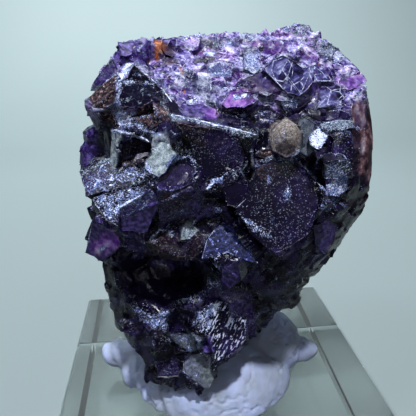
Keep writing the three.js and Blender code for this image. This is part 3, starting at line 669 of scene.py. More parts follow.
def face_plane(tree, corners):
    """A place on the plane that fits the stone inside an outline, and the plane's direction."""
    corners = np.array(corners)
    spans = zip(corners.min(0), corners.max(0))
    across, down = (np.arange(low + 0.5, high, 1.5) for low, high in spans)
    grid = np.stack(np.meshgrid(across, down), -1).reshape(-1, 2)
    grid = grid[inside(grid.T, corners, 0.1) > 0.5]
    hits = np.array([surface_place(tree, *place) for place in grid])
    sight = np.array(photo_ray(*grid.mean(0)))
    depth = hits @ sight
    hits = hits[np.abs(depth - np.median(depth)) < 1.2 * MM]
    centre = hits.mean(0)
    normal = np.linalg.svd(hits - centre, full_matrices=False)[2][2]
    normal *= -np.sign(normal @ sight)
    normal -= sight * max(0.0, 0.75 + normal @ sight)
    normal /= np.linalg.norm(normal)
    return centre + normal * np.percentile((hits - centre) @ normal, 75), normal


def chipped(corners, random, step=5.0, size=0.55):
    """An outline with more corners, each a little off the line between the first ones."""
    places = []
    for start, end in zip(corners, (*corners[1:], corners[0])):
        count = max(1, round(math.dist(start, end) / step))
        for i in range(count):
            line = [a + (b - a) * i / count for a, b in zip(start, end)]
            places.append(random.normal(line, size))
    return places


def add_plates(mesh, depth=1.6 * MM, rim=0.09 * MM, grain=0.4 * MM, seed=51):
    """Adds the standing faces to the stone's mesh, as flat plates with bevelled edges.

    Edges longer than the grain are divided, so that the finishes can change within a plate."""
    tree = tree_of(mesh)
    random = np.random.default_rng(seed)
    shape = bmesh.new()
    shape.from_mesh(mesh)
    for rise, _, outline in FACES:
        if rise is None or rise < 0:
            continue
        corners = corners_of(outline)
        centre, normal = face_plane(tree, corners)
        centre = Vector(centre + normal * rise * MM)
        normal = Vector(normal)
        away = (centre - CAMERA_PLACE).dot(normal)
        rays = [photo_ray(*corner) for corner in chipped(corners, random)]
        ring = [CAMERA_PLACE + ray * (away / ray.dot(normal)) for ray in rays]
        front = shape.faces.new([shape.verts.new(place) for place in ring])
        front.normal_update()
        if front.normal.dot(normal) < 0:
            front.normal_flip()
        back = bmesh.ops.extrude_face_region(shape, geom=[front], use_keep_orig=True)["geom"]
        back = [part for part in back if isinstance(part, bmesh.types.BMVert)]
        bmesh.ops.translate(shape, verts=back, vec=-normal * depth)
        bmesh.ops.inset_individual(shape, faces=[front], thickness=rim, depth=0.6 * rim)
        plate = {face for vert in (*front.verts, *back) for face in vert.link_faces}
        for face in bmesh.ops.triangulate(shape, faces=list(plate))["faces"]:
            face.smooth = False
    first = len(mesh.vertices)
    for _ in range(5):
        shape.verts.index_update()
        long = [edge for edge in shape.edges if edge.verts[0].index >= first and edge.calc_length() > grain]
        bmesh.ops.subdivide_edges(shape, edges=long, cuts=1)
    bmesh.ops.triangulate(shape, faces=[face for face in shape.faces if len(face.verts) > 4])
    shape.verts.index_update()
    for name, value in (("facet", 0.5), ("whole", 1.0)):
        layer = shape.verts.layers.float[name]
        for vert in shape.verts:
            if vert.index >= first:
                vert[layer] = value
    bmesh.ops.recalc_face_normals(shape, faces=[f for f in shape.faces if f.verts[0].index >= first])
    shape.to_mesh(mesh)
    shape.free()


def store_values(mesh, values):
    for name, numbers in values.items():
        layer = mesh.attributes.new(name, "FLOAT", "POINT")
        layer.data.foreach_set("value", numbers.astype(np.float32))


def roughened(mesh, finish):
    """Moves the surface in and out as each finish does: grains, broken steps and ripples."""
    points = vertex_array(mesh)
    grain = bumps(points, 0.42 * MM, 6.0)
    coarse = bumps(points, 1.1 * MM, 7.0)
    warp = 0.5 * bumps(points, 3.0 * MM, 8.0)
    layers = (points @ (0.12, 0.35, 1.0)) / (0.9 * MM) + 1.2 * warp + 0.4 * coarse
    step = np.abs(layers - np.floor(layers) - 0.5) * 2
    height = 0.07 * grain * (0.2 + np.minimum(1.0, finish["frost"] + finish["brown"]))
    height += finish["fracture"] * (0.12 * step - 0.06 + 0.16 * coarse + 0.12 * grain)
    height = (height + 0.05 * coarse) * (1 - 0.85 * finish["tan"])
    move_vertices(mesh, points + vertex_array(mesh, "normal") * (height * MM)[:, None])


def crystal_directions(random):
    """The cube faces and the cleavage planes of a crystal that is turned at random."""
    faces = [Vector(axis) * sign for axis in np.eye(3) for sign in (1, -1)]
    cleavage = [Vector(corner).normalized() for corner in product((1, -1), repeat=3)]
    turn = Euler(random.uniform(-math.pi, math.pi, 3)).to_matrix()
    return np.array([turn @ direction for direction in faces + cleavage])


def cleaved(mesh, cell, depth, keep, seed):
    """Breaks the surface into flat steps, which lie along the planes of a few crystals.

    Returns a random value for each vertex, the same all over a step."""
    random = np.random.default_rng(seed)
    points = vertex_array(mesh)
    area = sum(face.area for face in mesh.polygons)
    seeds = random.choice(len(points), round(area / cell**2), False)
    nearest = KDTree(len(seeds))
    for number, vertex in enumerate(seeds):
        nearest.insert(points[vertex], number)
    nearest.balance()
    warped = points + 0.18 * cell * np.stack([bumps(points, cell, seed + i) for i in range(3)], 1)
    owner = np.array([nearest.find(point)[1] for point in warped])
    number = np.maximum(np.bincount(owner, minlength=len(seeds)), 1)

    def mean(values):
        return np.stack([np.bincount(owner, v, len(seeds)) / number for v in values.T], 1)

    centres = mean(points)
    outward = mean(vertex_array(mesh, "normal"))
    outward /= np.maximum(np.linalg.norm(outward, axis=1, keepdims=True), 1e-6)
    crystals = np.stack([crystal_directions(random) for _ in range(5)])
    domain = np.floor(2.5 * (1 + bumps(centres, 11 * MM, seed))).astype(int).clip(0, 4)
    match = np.einsum("sij,sj->si", crystals[domain], outward)
    planes = crystals[domain, match.argmax(1)] + 0.35 * outward
    planes /= np.linalg.norm(planes, axis=1, keepdims=True)
    level = random.uniform(-0.3, 0.3, len(seeds)) * depth
    drop = np.sum((centres[owner] - points) * planes[owner], axis=1) + level[owner]
    drop = np.clip(drop, -depth, depth) * (1 - keep)
    move_vertices(mesh, points + planes[owner] * drop[:, None])
    return random.random(len(seeds))[owner]


# The kinds of node, by plain names, each with the settings that it always has here.
NODES = {
    "place": ("ShaderNodeTexCoord", {}),
    "turned": ("ShaderNodeMapping", {"vector_type": "TEXTURE"}),
    "attribute": ("ShaderNodeAttribute", {}),
    "noise": ("ShaderNodeTexNoise", {}),
    "cells": ("ShaderNodeTexVoronoi", {}),
    "cell_edges": ("ShaderNodeTexVoronoi", {"feature": "DISTANCE_TO_EDGE"}),
    "parts": ("ShaderNodeSeparateColor", {}),
    "ramp": ("ShaderNodeValToRGB", {}),
    "offset": ("ShaderNodeVectorMath", {"operation": "SUBTRACT"}),
    "along": ("ShaderNodeVectorMath", {"operation": "DOT_PRODUCT"}),
    "sum": ("ShaderNodeMath", {"operation": "ADD"}),
    "product": ("ShaderNodeMath", {"operation": "MULTIPLY"}),
    "weighted": ("ShaderNodeMath", {"operation": "MULTIPLY_ADD"}),
    "most": ("ShaderNodeMath", {"operation": "MAXIMUM"}),
    "range": ("ShaderNodeMapRange", {"interpolation_type": "SMOOTHSTEP"}),
    "mix": ("ShaderNodeMix", {"data_type": "RGBA"}),
    "blend": ("ShaderNodeMix", {"data_type": "FLOAT"}),
    "bump": ("ShaderNodeBump", {}),
    "surface": ("ShaderNodeBsdfPrincipled", {}),
    "inside": ("ShaderNodeVolumeAbsorption", {}),
    "finish": ("ShaderNodeOutputMaterial", {}),
}


def add(tree, kind, *values, output=0, stops=(), **settings):
    """Adds a node with its settings, links or sets its inputs, and returns one of its outputs.

    The values go to the inputs in their order, and those in a dictionary by name. Stops are a
    ramp's (place, sRGB hex) pairs. The output is a number or a name, and None is the node."""
    name, usual = NODES.get(kind, (kind, {}))
    node = tree.nodes.new(name)
    for key, value in {**usual, **settings}.items():
        setattr(node, key, value)
    inputs, outputs = ([s for s in side if s.enabled] for side in (node.inputs, node.outputs))
    pairs = []
    for number, value in enumerate(values):
        if isinstance(value, dict):
            pairs += [(node.inputs[key], part) for key, part in value.items()]
        else:
            pairs.append((inputs[number], value))
    for socket, value in pairs:
        if isinstance(value, bpy.types.NodeSocket):
            tree.links.new(value, socket)
        else:
            socket.default_value = value
    if stops:
        elements = node.color_ramp.elements
        while len(elements) < len(stops):
            elements.new(1.0)
        for element, (place, code) in zip(elements, stops):
            element.position = place
            element.color = colour(code)
    if isinstance(output, str):
        return node.outputs[output]
    return node if output is None or not outputs else outputs[output]


def total(node, *terms):
    """A sum of values, each times its weight."""
    result = 0.0
    for weight, value in terms:
        result = node("weighted", value, weight, result)
    return result


def product_of(node, *values):
    return reduce(partial(node, "product"), values)


def new_material(name):
    """An empty material, and the function that adds nodes to it."""
    material = bpy.data.materials.new(name)
    material.use_nodes = True
    material.node_tree.nodes.clear()
    return material, partial(add, material.node_tree)


def violet_fluorite(stone):
    """Fluorite grown in a pocket: glassy violet cubes, with drusy frost, brown-coated faces,
    cleaved lavender breaks and a dark rind."""
    material, node = new_material("violet_fluorite_crystal")
    share = {
        name: node("attribute", attribute_name=name, output="Fac") for name in (*FINISHES, "facet")
    }

    # The place, and the place turned and then drawn out along each of the turned axes.
    place = {"plain": node("place", output="Object")}
    for name, turn, parts in (
        ("layers", (0.35, -0.10, 0.0), (1.0, 1.0, 1.5)),
        ("streaks", (0.35, 0.3, 0.0), (1.0, 1.0, 3.4)),
        ("veil", (0.1, 0.9, 0.3), (1.5, 1.0, 0.8)),
        ("dashes", (0.0, 0.6, 0.0), (1.9, 1.0, 0.6)),
        ("cracks", (0.3, 0.5, 0.2), (1.0, 1.0, 0.6)),
        ("combed", (0.0, 0.5, 0.2), (2.4, 1.0, 0.55)),
    ):
        scale = [1 / part for part in parts]
        place[name] = node("turned", {"Vector": place["plain"], "Rotation": turn, "Scale": scale})

    # Clouds: the place, the size in millimetres, the detail, the roughness and the distortion.
    cloud = {}
    for name, axes, size, detail, rough, bend in (
        ("broad", "plain", 3.2, 3.0, 0.5, 0.0),
        ("fine", "plain", 0.5, 4.0, 0.5, 0.0),
        ("glow", "plain", 1.3, 4.0, 0.5, 0.0),
        ("chips", "plain", 2.6, 5.0, 0.5, 0.0),
        ("mauve", "layers", 2.8, 3.0, 0.5, 0.0),
        ("ash", "plain", 4.5, 2.0, 0.5, 0.0),
        ("rind", "plain", 1.3, 7.0, 0.65, 0.0),
        # This cloud only gathers the painted glints into patches.
        ("steps", "plain", 1.8, 2.0, 0.5, 0.0),
        ("frost", "plain", 1.5, 9.0, 0.72, 0.0),
        ("specks", "plain", 2.0, 3.0, 0.5, 0.0),
        ("streaks", "streaks", 1.5, 8.0, 0.7, 0.9),
        ("veil", "veil", 1.6, 9.0, 0.72, 0.8),
        ("dashes", "dashes", 0.5, 2.0, 0.5, 0.3),
        ("hoar", "combed", 0.9, 8.0, 0.7, 0.0),
    ):
        inputs = {"Vector": place[axes], "Scale": 1 / (size * MM), "Detail": detail}
        cloud[name] = node("noise", {**inputs, "Roughness": rough, "Distortion": bend})

    # Cleavage leaves flat facets about a millimetre wide, each tipped its own way.
    layered = {"Vector": place["layers"], "Scale": 1 / (1.1 * MM)}
    facets = node("cells", layered, output=None)
    shift = node("offset", place["layers"], facets.outputs["Position"])
    lean = node("offset", facets.outputs["Color"], (0.5, 0.5, 0.5))
    tip = node("product", node("along", shift, lean), 1 / MM)
    facet_edge = node("cell_edges", layered)
    crack = node("cell_edges", {"Vector": place["cracks"], "Scale": 1 / (1.9 * MM)})

    # A random value for each facet, and for each grain of several sizes in millimetres.
    facet = node("parts", facets.outputs["Color"])
    crumb, coarse, grain, dust = (
        node("parts", node("cells", {"Vector": place[axes], "Scale": 1 / (size * MM)}, output="Color"))
        for axes, size in (("layers", 0.42), ("plain", 0.3), ("plain", 0.17), ("plain", 0.085))
    )

    fine = cloud["fine"]
    lift = node("range", share["facet"], 0.0, 1.0, -0.1, 0.1)
    broad = node("sum", cloud["broad"], lift)
    chips = total(
        node, (0.12, facet), (0.08, crumb), (0.85, cloud["streaks"]), (0.22, cloud["chips"]), (0.5, lift)
    )
    frost_square = product_of(node, share["frost"], share["frost"])
    # The darkest crystal's colour, also used as the painted shade of the hollow, the crevices and the pits.
    tones = {"black": colour("#0d091b")}
    for name, terms, *stops in (
        ("deep", [(1.0, broad)], (0.3, "#05030d"), (0.5, "#100a24"), (0.72, "#2a1c56")),
        ("violet", [(1.0, fine)], (0.3, "#180d36"), (0.48, "#392670"), (0.7, "#7b67ba")),
        ("slate", [(1.0, grain)], (0.0, "#070919"), (0.75, "#191d45"), (0.96, "#30386c"), (1.0, "#7a86bc")),
        # Glow paints lilac crystal brighter, up to near white, as light shining through it.
        ("glow", [(0.75, cloud["glow"]), (0.25, fine)],
         (0.36, "#2c0f52"), (0.47, "#7636ac"), (0.58, "#c893e8"), (0.68, "#f3def8")),
        ("fracture", [(1.0, chips)], (0.44, "#0d0820"), (0.53, "#30205c"), (0.61, "#5f5094"),
         (0.69, "#9389be"), (0.77, "#c9c4e2"), (0.86, "#f6f5fb")),
        ("mauve", [(1.0, chips)], (0.46, "#150620"), (0.57, "#522a74"), (0.67, "#9a70bc"), (0.78, "#e2cdf0")),
        ("ash", [(1.0, chips)], (0.45, "#10131c"), (0.6, "#474e64"), (0.72, "#929cb0"), (0.84, "#edf1f6")),
        ("phantom", [(0.85, cloud["veil"]), (0.15, facet)], (0.38, "#0b081c"), (0.47, "#25204c"),
         (0.55, "#4b477c"), (0.63, "#8082b0"), (0.74, "#d0d2ec")),
        ("rind", [(0.4, broad), (0.6, cloud["rind"])], (0.38, "#0b070b"), (0.47, "#302028"),
         (0.54, "#664a4e"), (0.62, "#9a8a94"), (0.74, "#d8d0e0")),
        ("tan", [(0.35, grain), (0.35, dust), (0.3, fine)],
         (0.15, "#332b2b"), (0.5, "#645b58"), (0.85, "#968e88")),
        ("brown", [(0.5, coarse), (0.3, grain), (0.2, fine)], (0.25, "#070509"), (0.47, "#140d18"),
         (0.62, "#302029"), (0.75, "#604849"), (0.88, "#a8938f")),
        ("rust", [(1.0, fine)], (0.35, "#54280f"), (0.55, "#9c5220"), (0.7, "#bd8450")),
        ("grey", [(0.8, fine), (0.2, dust)], (0.3, "#47515c"), (0.5, "#7d888f"), (0.7, "#b6bfc2")),
        ("hoar", [(0.4, dust), (0.6, cloud["hoar"])],
         (0.36, "#161b28"), (0.5, "#586478"), (0.64, "#a0adbe"), (0.77, "#e4eaf2")),
        ("frost", [(0.35, dust), (1.4, cloud["frost"]), (-0.2, fine), (0.25, frost_square)],
         (0.6, "#262c4c"), (0.78, "#5d6a9c"), (0.9, "#9cacd6"), (1.0, "#eaefff")),
    ):
        tones[name] = node("ramp", total(node, *terms), stops=stops)
    for name, low, most in (("mauve", 0.52, 0.75), ("ash", 0.5, 0.8)):
        amount = node("range", cloud[name], low, 0.62, 0.0, most)
        tones["fracture"] = node("mix", amount, tones["fracture"], tones[name])

    tone = tones["deep"]
    for name in (
        "violet", "slate", "glow", "fracture", "phantom", "rind", "tan", "brown", "rust", "grey", "black",
    ):
        tone = node("mix", share[name], tone, tones[name])

    # Painted highlights: glints in short bright dashes that rise to the right on polished faces, and
    # glints on the facet edges of the breaks. Then straight pale cracks, and single specks of frost.
    painted_glint = total(node, (1.0, cloud["dashes"]), (0.3, cloud["steps"]))
    speck = total(node, (1.0, dust), (0.3, share["frost"]), (0.15, cloud["specks"]))
    for code, *cover in (
        ("#d9defc", node("range", painted_glint, 0.7, 0.76), share["gloss"]),
        ("#dcdcf2", node("range", facet_edge, 0.05, 0.015), node("range", fine, 0.45, 0.6),
         share["fracture"], 0.6),
        ("#c8cae8", node("range", crack, 0.035, 0.012), node("range", fine, 0.42, 0.56),
         share["phantom"], 0.8),
        ("#a4a8c8", node("range", speck, 1.03, 1.07), node("range", share["frost"], 0.0, 0.02),
         node("range", grain, 0.2, 1.0, 0.3, 0.9)),
    ):
        tone = node("mix", product_of(node, *cover), tone, colour(code))

    # Druse grows in clumps of every size down to single grains. A higher contrast leaves the
    # clumps' edges sharper, around the same middle.
    covers = []
    for name, contrast in (("hoar", 3.2), ("frost", 3.4)):
        level = total(node, (1.0, share[name]), (-0.62 * contrast, cloud[name]), (-0.38, grain))
        level = node("sum", level, 0.31 * (contrast - 1))
        covers.append(
            product_of(node, node("range", level, -0.05, 0.07), node("range", share[name], 0.0, 0.03))
        )
        tone = node("mix", covers[-1], tone, tones[name])
    druse = node("most", *covers)

    solid = druse
    for name in ("rind", "brown", "rust", "grey", "slate", "black", "tan"):
        solid = node("most", solid, share[name])
    for name, part in (("fracture", 0.7), ("phantom", 0.7), ("gloss", 0.4)):
        solid = node("most", solid, node("product", share[name], part))
    dull = node("range", share["facet"], 0.0, 1.0, 0.16, 0.45)
    for name, rough in (
        ("brown", 0.7), ("rind", 0.55), ("grey", 0.75), ("tan", 0.8), ("fracture", 0.2), ("gloss", 0.07),
        ("black", 0.3),
    ):
        dull = node("blend", share[name], dull, rough)
    dull = node("blend", druse, dull, 0.42)

    # The relief is in millimetres.
    relief = total(
        node,
        (0.045, fine),
        (-0.04, product_of(node, druse, grain)),
        (1.0, product_of(node, tip, node("range", share["fracture"], 0.0, 0.6, 0.04, 0.5))),
        (0.3, product_of(node, cloud["dashes"], share["gloss"])),
        (0.05, product_of(node, cloud["streaks"], share["fracture"])),
    )
    shader = node("surface", {
        "Base Color": tone,
        "Roughness": dull,
        "IOR": 1.434,
        "Specular IOR Level": 0.14,
        "Transmission Weight": node("range", solid, 0.0, 1.0, 0.45, 0.0),
        "Normal": node("bump", {"Height": relief, "Strength": 1.0, "Distance": MM}),
    })
    node("finish", shader, node("inside", (*stone.inner_colour, 1.0), stone.inner_density))
    return material


def drusy_quartz(name, codes, roughness, size):
    """Druse: minute glassy points, white where they are clean and brown where iron coats them."""
    material, node = new_material(name)
    where = {"Vector": node("place", output="Object"), "Scale": 1 / (size * MM)}
    stops = [(i / (len(codes) - 1), code) for i, code in enumerate(codes)]
    tone = node("ramp", node("parts", node("cells", where, output="Color")), stops=stops)
    node("finish", node("surface", {"Base Color": tone, "Roughness": roughness, "IOR": 1.54}))
    return material


def kneaded_putty(putty):
    """Mounting putty: a soft matt polymer filled with chalk, pressed and pinched into place."""
    material, node = new_material("kneaded_mounting_putty")
    where = node("place", output="Object")
    cloud = node("noise", where, 1 / (4 * MM), 4.0)
    fine = node("noise", where, 1 / (0.5 * MM), 6.0)
    streaks = node("range", cloud, 0.35, 0.65)
    node("finish", node("surface", {
        "Base Color": node("mix", streaks, (*putty.shade, 1.0), (*putty.colour, 1.0)),
        "Roughness": node("range", fine, 0.3, 0.7, 0.55, 0.8),
        "Subsurface Weight": 0.15,
        "Subsurface Scale": 0.6 * MM,
        "Normal": node("bump", {"Height": fine, "Strength": 0.5, "Distance": 0.12 * MM}),
    }))
    return material


def cast_acrylic(block):
    """Cast acrylic with flame-polished faces: clear, with a faint cool tint and fine handling marks."""
    material, node = new_material("cast_acrylic")
    where = node("place", output="Object")
    smear = node("noise", where, 1 / (6 * MM), 3.0)
    turn = {"Vector": where, "Rotation": (0.2, 0.4, 0.8), "Scale": (1.0, 14.0, 1.0)}
    marks = node("noise", node("turned", turn, vector_type="POINT"), 1 / (5 * MM), 2.0)
    shader = node("surface", {
        "Base Color": colour("#fcfefd"),
        "Roughness": node("range", smear, 0.35, 0.7, 0.01, 0.06),
        "IOR": 1.49,
        "Transmission Weight": 1.0,
        "Normal": node("bump", {"Height": marks, "Strength": 0.04, "Distance": 0.05 * MM}),
    })
    node("finish", shader, node("inside", (*block.tint, 1.0), block.density))
    return material


def painted_board(stage):
    """A sheet of matt painted board, curved up behind the object."""
    material, node = new_material("matt_painted_board")
    cloud = node("range", node("noise", node("place", output="Object"), 6.0, 2.0), 0.3, 0.7)
    shade = tuple(0.96 * c for c in stage.board_colour)
    tone = node("mix", cloud, (*shade, 1.0), (*stage.board_colour, 1.0))
    node("finish", node("surface", {"Base Color": tone, "Roughness": 0.7}))
    return material


def copies_of(template, name, points, turns, sizes, finish):
    """A mesh with a copy of the template at each point, which carries the point's finish."""
    shape = bmesh.new()
    for point in points:
        shape.verts.new(point)
    places = finished(shape, name)
    for key, values in (("turn", turns), ("size", sizes)):
        layer = places.data.attributes.new(key, "FLOAT_VECTOR", "POINT")
        layer.data.foreach_set("vector", np.asarray(values, np.float32).ravel())
    store_values(places.data, finish)
    group = bpy.data.node_groups.new("Copies", "GeometryNodeTree")
    for side in ("INPUT", "OUTPUT"):
        group.interface.new_socket("Geometry", in_out=side, socket_type="NodeSocketGeometry")
    node = partial(add, group)
    turn, size = (
        node("GeometryNodeInputNamedAttribute", {"Name": name}, data_type="FLOAT_VECTOR", output="Attribute")
        for name in ("turn", "size")
    )
    copies = node("GeometryNodeInstanceOnPoints", {
        "Points": node("NodeGroupInput"),
        "Instance": node("GeometryNodeObjectInfo", {"Object": template}, output="Geometry"),
        "Rotation": turn,
        "Scale": size,
    })
    node("NodeGroupOutput", node("GeometryNodeRealizeInstances", {"Geometry": copies}))
    places.modifiers.new("Copies", "NODES").node_group = group
    settled(places)
    bpy.data.node_groups.remove(group)
    bpy.data.objects.remove(template)
    return places


def bevelled(shape, offset):
    bmesh.ops.bevel(
        shape, geom=shape.edges[:], offset=offset, affect="EDGES", segments=1, profile=0.5, material=-1
    )


def small_cube():
    """One bevelled cube, a metre wide, to be copied."""
    shape = bmesh.new()
    bmesh.ops.create_cube(shape, size=1.0)
    bevelled(shape, 0.05)
    return finished(shape, "small_cube")


def druse_point():
    """One four-sided point with its foot at the origin, to be copied."""
    shape = bmesh.new()
    bmesh.ops.create_cone(shape, cap_ends=True, segments=4, radius1=0.6, radius2=0.0, depth=1.0)
    bmesh.ops.translate(shape, verts=shape.verts, vec=(0.0, 0.0, 0.25))
    return finished(shape, "druse_point")


def cleavage_flake():
    """One thin five-sided flake, a metre wide, to be copied."""
    shape = bmesh.new()
    bmesh.ops.create_cone(shape, cap_ends=True, segments=5, radius1=0.5, radius2=0.36, depth=1.0)
    bevelled(shape, 0.03)
    return finished(shape, "cleavage_flake")


def edge_ridges(tree, gap=1.0 * MM):
    """Thin ridges over the stone. A ridge ends where the surface drops away under its line."""
    curve = bpy.data.curves.new("crystal_edges", "CURVE")
    curve.dimensions = "3D"
    curve.bevel_depth = MM
    curve.bevel_resolution = 1
    curve.use_fill_caps = True
    for width, line in EDGES:
        places = stroke_places(tree, corners_of(line), 2.0)
        steps = np.linalg.norm(np.diff(places, axis=0), axis=1)
        for run in np.split(places, np.flatnonzero(steps > gap) + 1):
            if len(run) < 3:
                continue
            spline = curve.splines.new("POLY")
            spline.points.add(len(run) - 1)
            sway = np.stack([bumps(run, 0.7 * MM, seed) for seed in (18.0, 19.0, 20.0, 21.0)], 1)
            for i, (point, place) in enumerate(zip(spline.points, run)):
                point.co = (*(place + sway[i, :3] * 0.8 * width * MM), 1.0)
                taper = min(1.0, 0.35 + 0.4 * min(i, len(run) - 1 - i))
                point.radius = width * taper * (1 + 0.6 * sway[i, 3])
    thing = linked("crystal_edges", curve)
    mesh = evaluated(thing)
    bpy.data.objects.remove(thing)
    return linked("crystal_edges", mesh)


def mass_data():
    """The finished stone's vertices, their normals and finishes, and how near each is to a face."""
    mesh = bpy.data.objects["fluorite_mass"].data
    finish = {}
    for name in (*FINISHES, "facet", "whole"):
        finish[name] = np.empty(len(mesh.vertices), np.float32)
        mesh.attributes[name].data.foreach_get("value", finish[name])
    beside = neighbour_mean(mesh, finish["whole"], 4)
    return vertex_array(mesh), vertex_array(mesh, "normal"), finish, beside


def chosen(random, weights, count):
    """Vertex numbers drawn by weight, each at most once."""
    return random.choice(len(weights), min(count, int(np.sum(weights > 0))), False, weights / weights.sum())


def upright_turns(random, normals, lean=0.5):
    """Turns that point each copy's Z outwards, a little off the surface's own direction."""
    turns = []
    for normal in normals:
        aim = Vector(normal) + Vector(random.normal(0.0, lean, 3))
        spin = Matrix.Rotation(random.uniform(0, math.pi), 3, "Z")
        turns.append((aim.to_track_quat("Z", "Y").to_matrix() @ spin).to_euler())
    return np.array(turns)


def given(material, *things):
    for thing in things:
        thing.data.materials.clear()
        thing.data.materials.append(material)


length_property = partial(bpy.props.FloatProperty, unit="LENGTH")
colour_property = partial(bpy.props.FloatVectorProperty, subtype="COLOR", size=3)


class StoneSettings(bpy.types.PropertyGroup):
    """Sizes and colours of the fluorite."""

    voxel: length_property(
        name="Mesh grain", description="Edge of the cells that the stone is remeshed to", default=0.25 * MM
    )
    triangles: bpy.props.IntProperty(
        name="Triangles", description="Most triangles that the stone keeps", default=141000
    )
    inner_colour: colour_property(
        name="Inner colour",
        description="Colour of light that has passed through the crystal",
        default=(0.42, 0.20, 0.80),
    )
    inner_density: bpy.props.FloatProperty(
        name="Inner density",
        description="How fast the crystal takes up light, for each metre",
        default=1400.0,
    )


class CrystalSettings(bpy.types.PropertyGroup):
    """Numbers and sizes of the small crystals and grains."""

    cube_count: bpy.props.IntProperty(
        name="Small cubes", description="How many small cubes grow on the stone", default=300
    )
    flake_count: bpy.props.IntProperty(
        name="Cleavage flakes", description="How many thin flakes lie on the broken crown", default=240
    )
    flake_smallest: length_property(
        name="Smallest flake", description="Width of the smallest flake", default=0.5 * MM
    )
    flake_largest: length_property(
        name="Largest flake", description="Width of the largest flake", default=1.6 * MM
    )
    cube_smallest: length_property(
        name="Smallest cube", description="Edge of the smallest cube", default=0.5 * MM
    )
    cube_largest: length_property(
        name="Largest cube", description="Edge of the largest cube", default=1.4 * MM
    )
    frost_count: bpy.props.IntProperty(
        name="Frost grains", description="How many white druse points there are", default=6000
    )
    brown_count: bpy.props.IntProperty(
        name="Brown grains", description="How many brown druse points there are", default=3000
    )
    grain_size: length_property(
        name="Grain size", description="Height of a middling druse point", default=0.1 * MM
    )


class PuttySettings(bpy.types.PropertyGroup):
    """Sizes and colours of the putty."""

    voxel: length_property(
        name="Mesh grain", description="Edge of the putty's mesh cells", default=0.28 * MM
    )
    colour: colour_property(
        name="Colour", description="Colour of the putty", default=colour("#97a1c0")[:3]
    )
    shade: colour_property(
        name="Shade", description="The putty's darker streaks", default=colour("#848c9c")[:3]
    )


class BlockSettings(bpy.types.PropertyGroup):
    """Colour of the clear block."""

    tint: colour_property(
        name="Tint", description="Colour of light through the block", default=(0.90, 0.94, 0.92)
    )
    density: bpy.props.FloatProperty(
        name="Density", description="How fast the block takes up light, for each metre", default=2.0
    )


class StageSettings(bpy.types.PropertyGroup):
    """The floor, the backdrop and the lights."""

    board_colour: colour_property(
        name="Board colour", description="Colour of the floor and backdrop", default=colour("#747d7d")[:3]
    )
    key_power: bpy.props.FloatProperty(
        name="Key light", description="Power of the main light, in watts", default=1.6
    )
    low_power: bpy.props.FloatProperty(
        name="Low light", description="Power of the small light in front, in watts", default=0.17
    )
    wall_power: bpy.props.FloatProperty(
        name="Wall light", description="Power of the light on the backdrop, in watts", default=10.4
    )
    fill_power: bpy.props.FloatProperty(
        name="Fill light", description="Power of the light on the left, in watts", default=0.28
    )
    sky_strength: bpy.props.FloatProperty(
        name="Room light", description="Strength of the even light all round", default=0.07
    )


class FLUORITE_OT_stone(bpy.types.Operator):
    """Makes the fluorite: remeshes its solid, breaks up its surface and stores its finishes"""

    bl_idname = "fluorite.stone"
    bl_label = "Fluorite"

    def execute(self, context):
        settings = context.scene.fluorite_stone
        stone = remeshed_copy("fluorite", "fluorite_mass", settings.voxel)
        whole = flattened(stone.data)
        finish = painted_finish(stone.data)
        whole = np.maximum(whole, 0.8 * finish["rind"])
        cleaved(stone.data, cell=2.3 * MM, depth=0.55 * MM, keep=whole, seed=31)
        fitted_to_skyline(stone.data)
        finer = np.clip(1 - finish["fracture"] * (1 - whole), 0.35, 1.0)
        facet = cleaved(stone.data, cell=1.1 * MM, depth=0.24 * MM, keep=finer, seed=32)
        roughened(stone.data, finish)
        store_values(stone.data, {"facet": facet * (1 - whole) + 0.5 * whole, "whole": whole})
        thinned(stone, settings.triangles)
        add_plates(stone.data)
        finish = painted_finish(stone.data)
        edge = smooth_step(0.04, 0.14, convexity(stone.data))
        ragged = smooth_step(-0.2, 0.5, bumps(vertex_array(stone.data), 0.8 * MM, 9.0))
        kept = (1 - finish["rind"]) * (1 - finish["black"]) * (1 - 0.8 * finish["violet"])
        kept *= 1 - 0.8 * finish["slate"]
        finish["frost"] = np.maximum(finish["frost"], 0.5 * edge * ragged * kept)
        store_values(stone.data, finish)
        given(violet_fluorite(settings), stone)
        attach(stone, "root")
        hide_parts("fluorite")
        return {"FINISHED"}


